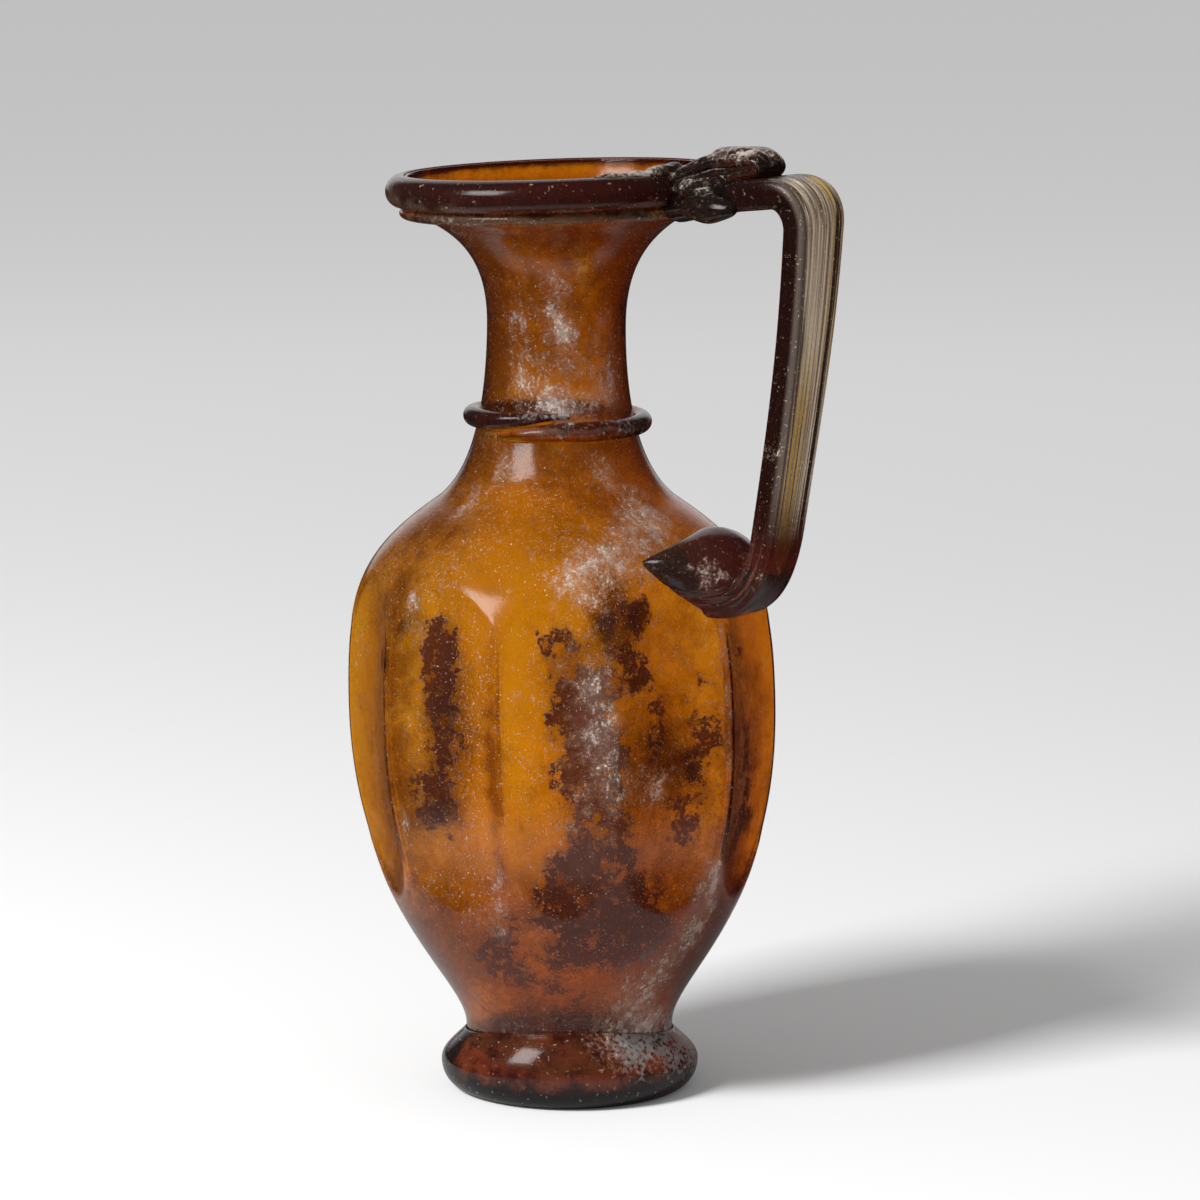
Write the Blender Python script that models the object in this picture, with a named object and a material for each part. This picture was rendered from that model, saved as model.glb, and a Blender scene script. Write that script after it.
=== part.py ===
"""A free-blown glass jug with a fluted belly, wound trails and a strap handle. Metres, +Z up.

The origin is the middle of the foot's flat underside, and the handle points along +X.
Every piece is drawn about an upright axis and then passed through slump(), which gives the
whole jug the lean and the tipped mouth of hand-worked glass, so that all seats stay together.
"""
import math
from collections import namedtuple

import bmesh
import bpy
from mathutils import Vector

# Glass thickness, and the gap kept between two pieces that meet
WALL = 0.0022
BASE_WALL = 0.0042
SEAT_GAP = 0.0003

# Foot pad
FOOT_RADIUS = 0.0308
FOOT_BULGE_HEIGHT = 0.0063
FOOT_REST_RADIUS = 0.0262
FOOT_FLOOR = 0.0045
FOOT_EDGE = 0.0005
FOOT_REST_HEADING = math.radians(260.0)

# Vessel: radius of each station, and its rise above the station below it
WAIST_RADIUS, WAIST_RISE = 0.0248, 0.0100
BELLY_RADIUS, BELLY_RISE = 0.0510, 0.0770
SHOULDER_RADIUS, SHOULDER_RISE = 0.0290, 0.0495
NECK_RADIUS, NECK_RISE = 0.0165, 0.0417
FLARE_RADIUS, FLARE_RISE = 0.0290, 0.0243
LIP_RADIUS, LIP_RISE = 0.0360, 0.0113
BASE_FLAT_RADIUS = 0.0150
SHOULDER_SLOPE = math.radians(-55.0)
FLARE_SLOPE = math.radians(59.0)
LIP_SLOPE = math.radians(6.0)

# How far the outline keeps to its heading before and after a station, as shares of the rises there
WAIST_PULLS = (0.75, 0.15)
BELLY_PULLS = (0.64, 0.57)
SHOULDER_PULLS = (0.45, 0.26)
NECK_PULLS = (0.48, 0.53)
FLARE_PULLS = (0.37, 0.53)
LIP_PULLS = (0.36, 0.0)

# Flutes: upright round-ended hollows side by side, with a ridge under the handle
FLUTES = 10
FLUTE_DEPTH = 0.0042
FLUTE_TURN = math.radians(2.0)
FLUTE_DROP = 0.0440
FLUTE_RISE = 0.0315

# Trails wound on the outside: section sizes, and places on the vessel
RIM_WIDTH, RIM_HEIGHT = 0.0073, 0.0077
RIM_BITE = 0.0028
RIM_DROP = 0.0030
COLLAR_WIDTH, COLLAR_HEIGHT = 0.0052, 0.0034
COLLAR_BITE = 0.0012
NECK_TRAIL_SIZE = 0.0047
NECK_TRAIL_BITE = 0.0012
NECK_TRAIL_DROP = 0.0258
NECK_TRAIL_START = math.radians(252.0)
NECK_TRAIL_LAP = math.radians(66.0)
NECK_TRAIL_TIP = 0.0014
NECK_TRAIL_LAP_GAP = 0.0005

# Handle: a flat ribbed strap from the rim, out, down and onto the shoulder
HANDLE_REACH = 0.0342
HANDLE_LIFT = 0.0004
BEND_RADIUS = 0.0078
STRAP_WIDTH = 0.0170
STRAP_WAIST_WIDTH = 0.0124
STRAP_THICKNESS = 0.0058
STRAP_RIBS = 9
RIB_HEIGHT = 0.0004
RIBBED_SHARE = 0.96
INNER_FACE_SHARES = (0.94, 0.5, -0.5, -0.94)
EDGE_ROUNDING = 0.25
EDGE_POWER = 6
CLASP_WIDTH = 0.0140
CLASP_THICKNESS = 0.0080
CLASP_DROP = 0.0036
CLASP_BITE = 0.0040
ELBOW_REACH = 0.0208
ELBOW_RISE = 0.0113
ELBOW_WIDTH = 0.0110
ELBOW_DROP = 0.0060
CLASP_HEADING = math.radians(80.0)
BEND_HEADING = math.radians(85.0)
LEG_HEADING = math.radians(184.0)
ELBOW_HEADING = math.radians(191.0)
SEAT_HEADING = math.radians(287.0)

# Pad: the drop of glass that the handle was drawn from, pressed on the shoulder
PAD_DROP = 0.0130
PAD_RADIUS = 0.0105
PAD_STANDOFF = 0.0034
PAD_HALF_ANGLE = math.radians(24.0)
PAD_TIP_RADIUS = 0.0006
PAD_TIP_LIFT = 0.0030
PAD_TAPER_POWER = 1.45

# Thumb rest: the handle's end folded back over itself on top of the rim
THUMB_HEIGHT = 0.0068
THUMB_THICKNESS = 0.0030
THUMB_REST_WIDTH = 0.0110
THUMB_ROOT_WIDTH = 0.0200
THUMB_REACH = 0.0215
THUMB_RETURN = 0.0130
THUMB_ROOT_HEADING = math.radians(80.0)
THUMB_TOP_HEADING = math.radians(88.0)
THUMB_END_HEADING = math.radians(266.0)

# Lean away from the handle, and the mouth tipped up towards a bearing beside it
LEAN = 0.0037
MOUTH_TILT = math.radians(1.99)
MOUTH_TILT_BEARING = math.radians(38.0)

# Facets
FACETS_PER_FLUTE = 6
VESSEL_STEPS = (4, 9, 9, 5, 4, 3)
INNER_STEPS = (3, 5, 5, 3, 3, 2)
FOOT_STEPS = (5, 4)
RIM_FACETS = 10
COLLAR_FACETS = 8
TRAIL_FACETS = 8
STRAP_STEPS = (5, 6, 14, 7)
THUMB_STEPS = (5, 6, 4)
THUMB_FACETS = 12
PAD_STEPS = 16
PAD_FACETS = 14
CREASE_ANGLE = math.radians(50.0)

# A point of a smooth curve: its place, its heading from +Z towards +X, and how far
# the curve keeps to that heading before and after it
Station = namedtuple("Station", "across up heading before after")

FACETS = FLUTES * FACETS_PER_FLUTE
ANGLES = [FLUTE_TURN + 2 * math.pi * i / FACETS for i in range(FACETS)]


def smooth(value):
    value = max(0.0, min(1.0, value))
    return value * value * (3 - 2 * value)


def mix(first, second, share):
    return first + (second - first) * share


def curve(stations, steps):
    """Points (across, up, place) along cubic arcs; place 1.5 is halfway from station 1 to station 2."""
    points = [(stations[0].across, stations[0].up, 0.0)]
    for index, (a, b, count) in enumerate(zip(stations, stations[1:], steps)):
        corners = (
            Vector((a.across, a.up)),
            Vector((a.across + math.sin(a.heading) * a.after, a.up + math.cos(a.heading) * a.after)),
            Vector((b.across - math.sin(b.heading) * b.before, b.up - math.cos(b.heading) * b.before)),
            Vector((b.across, b.up)),
        )
        for step in range(1, count + 1):
            t = step / count
            weights = ((1 - t) ** 3, 3 * t * (1 - t) ** 2, 3 * t * t * (1 - t), t ** 3)
            place = sum((w * c for w, c in zip(weights, corners)), Vector((0.0, 0.0)))
            points.append((place.x, place.y, index + t))
    return points


def normals(points):
    """The side to the right of travel at each point of an open line: outwards on a rising profile."""
    found = []
    for index in range(len(points)):
        before = points[max(index - 1, 0)]
        after = points[min(index + 1, len(points) - 1)]
        found.append(Vector((after[1] - before[1], before[0] - after[0])).normalized())
    return found


# Heights of the vessel's stations
BOTTOM_Z = FOOT_FLOOR + SEAT_GAP
WAIST_Z = BOTTOM_Z + WAIST_RISE
BELLY_Z = WAIST_Z + BELLY_RISE
SHOULDER_Z = BELLY_Z + SHOULDER_RISE
NECK_Z = SHOULDER_Z + NECK_RISE
FLARE_Z = NECK_Z + FLARE_RISE
LIP_Z = FLARE_Z + LIP_RISE


def blown(radius, height, slope, pulls, rise_below, rise_above):
    return Station(radius, height, slope, pulls[0] * rise_below, pulls[1] * rise_above)


def vessel_stations():
    """The blown outline from the middle of the bottom to the lip."""
    return (
        Station(0.0, BOTTOM_Z, math.pi / 2, 0.0, BASE_FLAT_RADIUS),
        blown(WAIST_RADIUS, WAIST_Z, 0.0, WAIST_PULLS, WAIST_RISE, BELLY_RISE),
        blown(BELLY_RADIUS, BELLY_Z, 0.0, BELLY_PULLS, BELLY_RISE, SHOULDER_RISE),
        blown(SHOULDER_RADIUS, SHOULDER_Z, SHOULDER_SLOPE, SHOULDER_PULLS, SHOULDER_RISE, NECK_RISE),
        blown(NECK_RADIUS, NECK_Z, 0.0, NECK_PULLS, NECK_RISE, FLARE_RISE),
        blown(FLARE_RADIUS, FLARE_Z, FLARE_SLOPE, FLARE_PULLS, FLARE_RISE, LIP_RISE),
        blown(LIP_RADIUS, LIP_Z, LIP_SLOPE, LIP_PULLS, LIP_RISE, 0.0),
    )


OUTLINE = curve(vessel_stations(), VESSEL_STEPS)


def skin_radius(height):
    """The vessel's outer radius at a height above its waist, on the same facets as its mesh."""
    for low, high in zip(OUTLINE[VESSEL_STEPS[0]:], OUTLINE[VESSEL_STEPS[0] + 1:]):
        if height <= high[1]:
            return mix(low[0], high[0], (height - low[1]) / (high[1] - low[1]))
    return OUTLINE[-1][0]


def slump(point):
    """The lean of the whole jug and the tip of its mouth; the foot's underside stays flat."""
    x, y, z = point
    towards = x * math.cos(MOUTH_TILT_BEARING) + y * math.sin(MOUTH_TILT_BEARING)
    tip = math.tan(MOUTH_TILT) * towards * smooth((z - NECK_Z) / (LIP_Z - NECK_Z))
    return Vector((x - LEAN * smooth(z / (SHOULDER_Z + NECK_RISE / 2)), y, z + tip))


def polar(radius, angle, height):
    return (radius * math.cos(angle), radius * math.sin(angle), height)


def pole(ring):
    """A pole that closes the end of a strand."""
    return [tuple(sum(axis) / len(ring) for axis in zip(*ring))]


def flute_depth(angle, height):
    """How far a point lies pressed in: round-ended hollows that meet in ridges round the belly."""
    pitch = 2 * math.pi / FLUTES
    half = pitch / 2 * BELLY_RADIUS
    aside = abs((angle - FLUTE_TURN) % pitch - pitch / 2) * BELLY_RADIUS
    low, high = BELLY_Z - FLUTE_DROP + half, BELLY_Z + FLUTE_RISE - half
    beyond = max(low - height, height - high, 0.0)
    return FLUTE_DEPTH * max(1 - (aside ** 2 + beyond ** 2) / half ** 2, 0.0)


def wall_at(place):
    return mix(BASE_WALL, WALL, smooth(place))


def skin_rings(steps, inset):
    """One ring per outline point, moved inwards by inset(place), with the flutes pressed in."""
    outline = curve(vessel_stations(), steps)
    rings = []
    for (radius, height, place), normal in zip(outline, normals(outline)):
        ring = []
        for angle in ANGLES:
            depth = flute_depth(angle, height) + inset(place)
            ring.append(polar(radius - normal.x * depth, angle, height - normal.y * depth))
        rings.append(ring)
    bottom = [(0.0, 0.0, outline[0][1] + inset(0.0))]
    return [bottom] + rings[1:]


def mesh_object(name, rings, closed=False):
    """A closed solid through rings of points; a ring of one point is a pole."""
    mesh = bpy.data.meshes.new(name)
    bm = bmesh.new()
    loops = [[bm.verts.new(slump(point)) for point in ring] for ring in rings]
    pairs = list(zip(loops, loops[1:]))
    if closed:
        pairs.append((loops[-1], loops[0]))
    for low, high in pairs:
        for i in range(max(len(low), len(high))):
            near = [low[i % len(low)], low[(i + 1) % len(low)]]
            far = [high[(i + 1) % len(high)], high[i % len(high)]]
            bm.faces.new(list(dict.fromkeys(near + far)))
    bmesh.ops.recalc_face_normals(bm, faces=bm.faces)
    bm.to_mesh(mesh)
    bm.free()
    mesh.shade_smooth()
    mesh.set_sharp_from_angle(angle=CREASE_ANGLE)
    piece = bpy.data.objects.new(name, mesh)
    bpy.context.collection.objects.link(piece)
    return piece


def glass(name, colour, roughness):
    material = bpy.data.materials.new(name)
    material.use_nodes = True
    shader = material.node_tree.nodes["Principled BSDF"]
    shader.inputs["Base Color"].default_value = (*colour, 1.0)
    shader.inputs["Roughness"].default_value = roughness
    shader.inputs["Metallic"].default_value = 0.0
    shader.inputs["IOR"].default_value = 1.5
    material.diffuse_color = (*colour, 1.0)
    return material


def helper(piece):
    piece.hide_render = True
    piece.display_type = "WIRE"
    return piece


def combine(piece, other, operation):
    modifier = piece.modifiers.new(f"{operation.lower()}_{other.name}", "BOOLEAN")
    modifier.operation = operation
    modifier.solver = "EXACT"
    modifier.object = other


def vessel():
    """One blown bubble: outer skin up to the lip, over the rounded lip, and down the inner skin."""
    outer = skin_rings(VESSEL_STEPS, lambda place: 0.0)
    inner = skin_rings(INNER_STEPS, wall_at)
    lip = [polar(LIP_RADIUS - WALL / 2, angle, LIP_Z + WALL / 3) for angle in ANGLES]
    return mesh_object("vessel", outer + [lip] + inner[::-1])


def body_cutter():
    """The vessel filled solid and a seat gap larger, for shaping what is fused to its outside."""
    rings = skin_rings(VESSEL_STEPS, lambda place: -SEAT_GAP)
    return helper(mesh_object("body_cutter", rings + [[(0.0, 0.0, LIP_Z + SEAT_GAP)]]))


def foot_pad():
    """A pad of glass under the vessel, flat below, with a dish that follows the vessel's bottom."""
    dish = curve(vessel_stations()[:2], VESSEL_STEPS[:1])
    sides = normals(dish)
    dish = [(r + n.x * SEAT_GAP, z + n.y * SEAT_GAP) for (r, z, _), n in zip(dish, sides)]
    lip_r, lip_z = dish[-1]
    drop = lip_z - FOOT_BULGE_HEIGHT
    tuck = FOOT_RADIUS - FOOT_REST_RADIUS
    outside = curve(
        (
            Station(lip_r + FOOT_EDGE, lip_z, math.pi, 0.0, 0.25 * drop),
            Station(FOOT_RADIUS, FOOT_BULGE_HEIGHT, math.pi, 0.75 * drop, 0.55 * FOOT_BULGE_HEIGHT),
            Station(FOOT_REST_RADIUS, 0.0, FOOT_REST_HEADING, 0.55 * tuck, 0.0),
        ),
        FOOT_STEPS,
    )
    rings = [[polar(r, angle, z) for angle in ANGLES] for r, z in dish[1:]]
    rings += [[polar(r, angle, z) for angle in ANGLES] for r, z, _ in outside]
    return mesh_object("foot_pad", [[(0.0, 0.0, FOOT_FLOOR)]] + rings + [[(0.0, 0.0, 0.0)]])


def trail_section(height, width, tall, facets, bite, grow=0.0):
    """(radius, height) points of an oval strand, flattened `bite` deep where it lies on the vessel.

    A cutter's oval grows on all sides and stays whole.
    """
    middle = skin_radius(height) + SEAT_GAP + width / 2 - bite
    points = []
    for i in range(facets):
        turn = 2 * math.pi * i / facets
        r = middle + (width / 2 + grow) * math.cos(turn)
        z = height + (tall / 2 + grow) * math.sin(turn)
        points.append((r if grow else max(r, skin_radius(z) + SEAT_GAP), z))
    return points


RIM_Z = LIP_Z - RIM_DROP
COLLAR_Z = RIM_Z - (RIM_HEIGHT + COLLAR_HEIGHT) / 2 - SEAT_GAP
RIM_OUTER = skin_radius(RIM_Z) + SEAT_GAP + RIM_WIDTH - RIM_BITE


def ring_trail(name, section):
    """A strand closed on itself round the vessel."""
    return mesh_object(name, [[polar(r, angle, z) for r, z in section] for angle in ANGLES], closed=True)


def rim_section(grow=0.0):
    return trail_section(RIM_Z, RIM_WIDTH, RIM_HEIGHT, RIM_FACETS, RIM_BITE, grow)


def collar_section(grow=0.0):
    return trail_section(COLLAR_Z, COLLAR_WIDTH, COLLAR_HEIGHT, COLLAR_FACETS, COLLAR_BITE, grow)


def neck_trail():
    """A strand laid once round the neck; its thinning tail lies on top of its own thin start."""
    floor = NECK_Z - NECK_TRAIL_DROP
    step = ANGLES[1] - ANGLES[0]
    count = round((2 * math.pi + NECK_TRAIL_LAP) / step)

    def start_size(gone):
        return mix(NECK_TRAIL_TIP, NECK_TRAIL_SIZE, smooth(gone / NECK_TRAIL_LAP))

    rings = []
    for i in range(count + 1):
        gone = i * step
        size = min(start_size(gone), start_size(count * step - gone))
        climb = smooth((gone - NECK_TRAIL_LAP) / (2 * math.pi - NECK_TRAIL_LAP))
        under = climb * (start_size(gone - 2 * math.pi) + NECK_TRAIL_LAP_GAP)
        bite = NECK_TRAIL_BITE * size / NECK_TRAIL_SIZE
        section = trail_section(floor + under + size / 2, size, size, TRAIL_FACETS, bite)
        rings.append([polar(r, NECK_TRAIL_START + gone, z) for r, z in section])
    return mesh_object("neck_trail", [pole(rings[0])] + rings + [pole(rings[-1])])


def swept(name, path, section):
    """A solid whose section(place) lies across the path: its points are (sideways, outwards)."""
    rings = []
    for (across, up, place), normal in zip(path, normals(path)):
        ring = []
        for sideways, outwards in section(place):
            ring.append((across - normal.x * outwards, sideways, up - normal.y * outwards))
        rings.append(ring)
    ends = [[(path[i][0], 0.0, path[i][1])] for i in (0, -1)]
    return mesh_object(name, [ends[0]] + rings + [ends[1]])


PAD_Z = SHOULDER_Z - PAD_DROP
TOP_Z = RIM_Z - HANDLE_LIFT
STRAP_X = RIM_OUTER + HANDLE_REACH
ELBOW_X = skin_radius(PAD_Z) + ELBOW_REACH


def strap_path():
    """From inside the rim trail out to the bend, down the leg, round the elbow and into the pad."""
    start_x = RIM_OUTER - CLASP_BITE
    leg = TOP_Z - BEND_RADIUS - PAD_Z - ELBOW_RISE
    run = STRAP_X - BEND_RADIUS - start_x
    return curve(
        (
            Station(start_x, RIM_Z - CLASP_DROP, CLASP_HEADING, 0.0, 0.4 * run),
            Station(STRAP_X - BEND_RADIUS, TOP_Z, BEND_HEADING, 0.4 * run, 0.6 * BEND_RADIUS),
            Station(STRAP_X, TOP_Z - BEND_RADIUS, LEG_HEADING, 0.6 * BEND_RADIUS, 0.33 * leg),
            Station(ELBOW_X, PAD_Z + ELBOW_RISE, ELBOW_HEADING, 0.33 * leg, 0.8 * ELBOW_RISE),
            Station(skin_radius(PAD_Z), PAD_Z - ELBOW_DROP, SEAT_HEADING, 0.75 * ELBOW_REACH, 0.0),
        ),
        STRAP_STEPS,
    )


def strap_size(place):
    """Half the strap's width and thickness: a thick clasp at the rim, narrowing down the leg.

    Along the path the bend begins at place 1, the leg at 2 and the elbow at 3.
    """
    clasp = 1 - smooth(place / 0.8)
    leg = smooth((place - 1.5) / 1.5)
    elbow = smooth(place - 3.0)
    width = mix(mix(STRAP_WIDTH, STRAP_WAIST_WIDTH, leg), CLASP_WIDTH, clasp)
    width = mix(width, ELBOW_WIDTH, elbow)
    return width / 2, mix(STRAP_THICKNESS, CLASP_THICKNESS, clasp) / 2


def strap_section(place, grow=0.0):
    """A flat band with rounded edges, ribbed lengthways on its outer face."""
    half_width, half_thickness = strap_size(place)
    half_width, half_thickness = half_width + grow, half_thickness + grow
    points = [(-half_width, 0.0)]
    for i in range(2 * STRAP_RIBS + 1):
        share = mix(-RIBBED_SHARE, RIBBED_SHARE, i / (2 * STRAP_RIBS))
        crown = half_thickness * (1 - EDGE_ROUNDING * share ** EDGE_POWER)
        points.append((share * half_width, crown - RIB_HEIGHT * (i % 2 == 0)))
    points.append((half_width, 0.0))
    for share in INNER_FACE_SHARES:
        points.append((share * half_width, -half_thickness * (1 - EDGE_ROUNDING * share ** EDGE_POWER)))
    return points


def pad_form():
    """A leaf of glass lying along the shoulder, with its two tips drawn out sideways."""
    rings = []
    for i in range(PAD_STEPS + 1):
        share = mix(-1.0, 1.0, i / PAD_STEPS)
        radius = mix(PAD_RADIUS, PAD_TIP_RADIUS, abs(share) ** PAD_TAPER_POWER)
        height = PAD_Z + PAD_TIP_LIFT * share ** 2
        middle = skin_radius(height) + PAD_STANDOFF * (1 - share ** 2)
        ring = []
        for j in range(PAD_FACETS):
            turn = 2 * math.pi * j / PAD_FACETS
            out = middle + radius * math.cos(turn)
            ring.append(polar(out, share * PAD_HALF_ANGLE, height + radius * math.sin(turn)))
        rings.append(ring)
    return helper(mesh_object("pad_form", [pole(rings[0])] + rings + [pole(rings[-1])]))


def handle(cutters):
    """Strap and shoulder pad in one piece, seated on the vessel, the rim and the collar."""
    piece = swept("handle", strap_path(), strap_section)
    combine(piece, pad_form(), "UNION")
    for cutter in cutters:
        combine(piece, cutter, "DIFFERENCE")
    return piece


def thumb_path():
    """From the top of the rim out over the strap, folded down and back in to lie on it."""
    root_x = RIM_OUTER - RIM_WIDTH / 2
    end_x = RIM_OUTER + THUMB_REACH
    low = RIM_Z + STRAP_THICKNESS / 2 - HANDLE_LIFT
    high = low + THUMB_HEIGHT - THUMB_THICKNESS / 2
    fold = (high - low - THUMB_THICKNESS / 2) / 2
    return curve(
        (
            Station(root_x, RIM_Z + RIM_HEIGHT / 2, THUMB_ROOT_HEADING, 0.0, 0.3 * THUMB_REACH),
            Station(end_x - 2 * fold, high, THUMB_TOP_HEADING, 0.3 * THUMB_REACH, 0.9 * fold),
            Station(end_x, high - fold, math.pi, 0.6 * fold, 0.6 * fold),
            Station(end_x - THUMB_RETURN, low, THUMB_END_HEADING, 0.6 * THUMB_RETURN, 0.0),
        ),
        THUMB_STEPS,
    )


def thumb_section(place):
    """An oval band, wide where it meets the rim and narrow at the fold."""
    half_width = mix(THUMB_ROOT_WIDTH, THUMB_REST_WIDTH, smooth(place / 1.2)) / 2
    half_thickness = THUMB_THICKNESS / 2
    points = []
    for i in range(THUMB_FACETS):
        turn = 2 * math.pi * i / THUMB_FACETS
        points.append((-half_width * math.cos(turn), half_thickness * math.sin(turn)))
    return points


def thumb_rest(cutters):
    piece = swept("thumb_rest", thumb_path(), thumb_section)
    for cutter in cutters:
        combine(piece, cutter, "DIFFERENCE")
    return piece


def main():
    for leftover in list(bpy.data.objects):
        bpy.data.objects.remove(leftover)
    body = body_cutter()
    rim = helper(ring_trail("rim_cutter", rim_section(SEAT_GAP)))
    collar = helper(ring_trail("collar_cutter", collar_section(SEAT_GAP)))
    strap = helper(swept("strap_cutter", strap_path(), lambda place: strap_section(place, SEAT_GAP)))
    pieces = (
        (vessel(), (0.42, 0.17, 0.03), 0.15),
        (foot_pad(), (0.10, 0.035, 0.02), 0.15),
        (neck_trail(), (0.20, 0.07, 0.02), 0.15),
        (ring_trail("collar_trail", collar_section()), (0.16, 0.05, 0.02), 0.15),
        (ring_trail("rim_trail", rim_section()), (0.08, 0.025, 0.02), 0.15),
        (handle((body, rim, collar)), (0.12, 0.06, 0.04), 0.25),
        (thumb_rest((body, rim, strap)), (0.12, 0.06, 0.04), 0.25),
    )
    for piece, colour, roughness in pieces:
        piece.data.materials.append(glass(f"{piece.name}_glass", colour, roughness))


main()
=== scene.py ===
"""Looks of a free-blown amber glass jug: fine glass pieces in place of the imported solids. Metres, +Z up.

Every piece is drawn about an upright axis and then passed through slump(), as the solids are, so that
it lies where the solid lies. The camera stands 52 degrees round from the handle.
"""
import math
from collections import namedtuple

import bmesh
import bpy
import numpy as np
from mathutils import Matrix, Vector

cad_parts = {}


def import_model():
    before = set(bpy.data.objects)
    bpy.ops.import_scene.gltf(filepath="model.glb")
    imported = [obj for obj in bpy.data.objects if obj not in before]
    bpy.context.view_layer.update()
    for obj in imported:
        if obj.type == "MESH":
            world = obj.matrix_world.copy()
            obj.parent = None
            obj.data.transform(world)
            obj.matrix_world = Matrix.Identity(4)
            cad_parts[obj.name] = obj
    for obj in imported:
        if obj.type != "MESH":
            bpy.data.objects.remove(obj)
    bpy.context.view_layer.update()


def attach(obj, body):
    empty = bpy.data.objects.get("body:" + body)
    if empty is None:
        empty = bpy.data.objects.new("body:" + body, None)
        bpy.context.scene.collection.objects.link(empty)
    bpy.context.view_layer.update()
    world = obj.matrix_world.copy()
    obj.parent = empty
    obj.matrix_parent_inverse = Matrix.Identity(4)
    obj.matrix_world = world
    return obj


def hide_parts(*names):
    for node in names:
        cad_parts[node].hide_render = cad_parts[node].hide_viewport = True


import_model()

# Camera, for a square picture
VIEW_BEARING = math.radians(-52.0)
VIEW_DISTANCE = 1.170
VIEW_ASIDE = 0.00727
VIEW_HEIGHT = 0.299
VIEW_PITCH = math.radians(8.824)
VIEW_LENS = 149.7
SENSOR = 36.0

# Glass thickness
LIP_WALL = 0.0011
WALLS = (0.0020, 0.0015, 0.0012, 0.0011, 0.0013, 0.0013, LIP_WALL)
WALL_DRIFT = 0.30
THIN_BEARING = VIEW_BEARING - math.radians(90.0)
SEAT_GAP = 0.0003

# Foot pad
FOOT_RADIUS = 0.0308
FOOT_BULGE_HEIGHT = 0.0063
FOOT_REST_RADIUS = 0.0262
FOOT_FLOOR = 0.0045
FOOT_REST_HEADING = math.radians(260.0)
FOOT_TOP_HEADING = math.radians(136.0)
FOOT_LIP_DROP, FOOT_LIP_CLIMB = 0.0016, 0.0036
FOOT_CLIMB_ANGLE = math.radians(62.0)

# Vessel: radius of each station, its rise above the one below, and how far the outline keeps to its heading
WAIST_RADIUS, WAIST_RISE, WAIST_PULLS = 0.0248, 0.0100, (0.75, 0.15)
BELLY_RADIUS, BELLY_RISE, BELLY_PULLS = 0.0510, 0.0770, (0.64, 0.57)
SHOULDER_RADIUS, SHOULDER_RISE, SHOULDER_PULLS = 0.0290, 0.0495, (0.45, 0.26)
NECK_RADIUS, NECK_RISE, NECK_PULLS = 0.0165, 0.0417, (0.48, 0.53)
FLARE_RADIUS, FLARE_RISE, FLARE_PULLS = 0.0290, 0.0243, (0.37, 0.53)
LIP_RADIUS, LIP_RISE, LIP_PULLS = 0.0360, 0.0113, (0.36, 0.0)
BASE_FLAT_RADIUS = 0.0150
SHOULDER_SLOPE = math.radians(-55.0)
FLARE_SLOPE = math.radians(59.0)
LIP_SLOPE = math.radians(6.0)

# Flutes, with the drift of each ridge from an even spacing
FLUTES = 10
FLUTE_DEPTH = 0.0042
RIDGE_ROUNDING, INNER_RIDGE_ROUNDING = 0.07, 0.10
FLUTE_TURN = math.radians(2.0)
FLUTE_DROP = 0.0440
FLUTE_RISE = 0.0340
RIDGE_DRIFT_DEGREES = (-2.2, 0.6, -1.0, 0.8, -0.5, 1.1, -0.7, 0.4, 1.5, -3.0)

# Trails
RIM_WIDTH, RIM_HEIGHT = 0.0073, 0.0077
RIM_BITE = 0.0028
RIM_DROP = 0.0030
COLLAR_WIDTH, COLLAR_HEIGHT = 0.0052, 0.0034
COLLAR_BITE = 0.0012
NECK_TRAIL_SIZE = 0.0047
NECK_TRAIL_BITE = 0.0012
NECK_TRAIL_DROP = 0.0258
NECK_TRAIL_START = math.radians(252.0)
NECK_TRAIL_LAP = math.radians(66.0)
NECK_TRAIL_TIP = 0.0014
NECK_TRAIL_LAP_GAP = 0.0005

# Handle
HANDLE_REACH = 0.0339
HANDLE_LIFT = 0.0004
BEND_RADIUS = 0.0078
STRAP_WIDTH = 0.0170
STRAP_WAIST_WIDTH = 0.0124
STRAP_THICKNESS = 0.0064
STRAP_RIBS = 9
RIB_HEIGHT = 0.00026
SWIRL_DEPTH = 0.00016
BOXINESS = 0.32
SHRINKAGE = 0.0003
CLASP_WIDTH = 0.0140
CLASP_THICKNESS = 0.0080
CLASP_DROP = 0.0036
CLASP_BITE = 0.0040
ELBOW_REACH = 0.0212
ELBOW_RISE = 0.0113
ELBOW_WIDTH = 0.0120
ELBOW_DROP = 0.0060
CLASP_HEADING = math.radians(80.0)
BEND_HEADING = math.radians(85.0)
LEG_HEADING = math.radians(184.0)
ELBOW_HEADING = math.radians(191.0)
SEAT_HEADING = math.radians(287.0)
PAD_DROP = 0.0130
PAD_RADIUS = 0.0105
PAD_STANDOFF = 0.0034
PAD_HALF_ANGLE = math.radians(24.0)
PAD_TIP_RADIUS = 0.0006
PAD_TIP_LIFT = 0.0030
PAD_TAPER_POWER = 1.45

DIMPLE_AT = np.array([0.0480, -0.0095, 0.1295])
DIMPLE_PUSH = np.array([-0.0010, 0.0016, -0.0002])
DIMPLE_REACH = 0.0042

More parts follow.
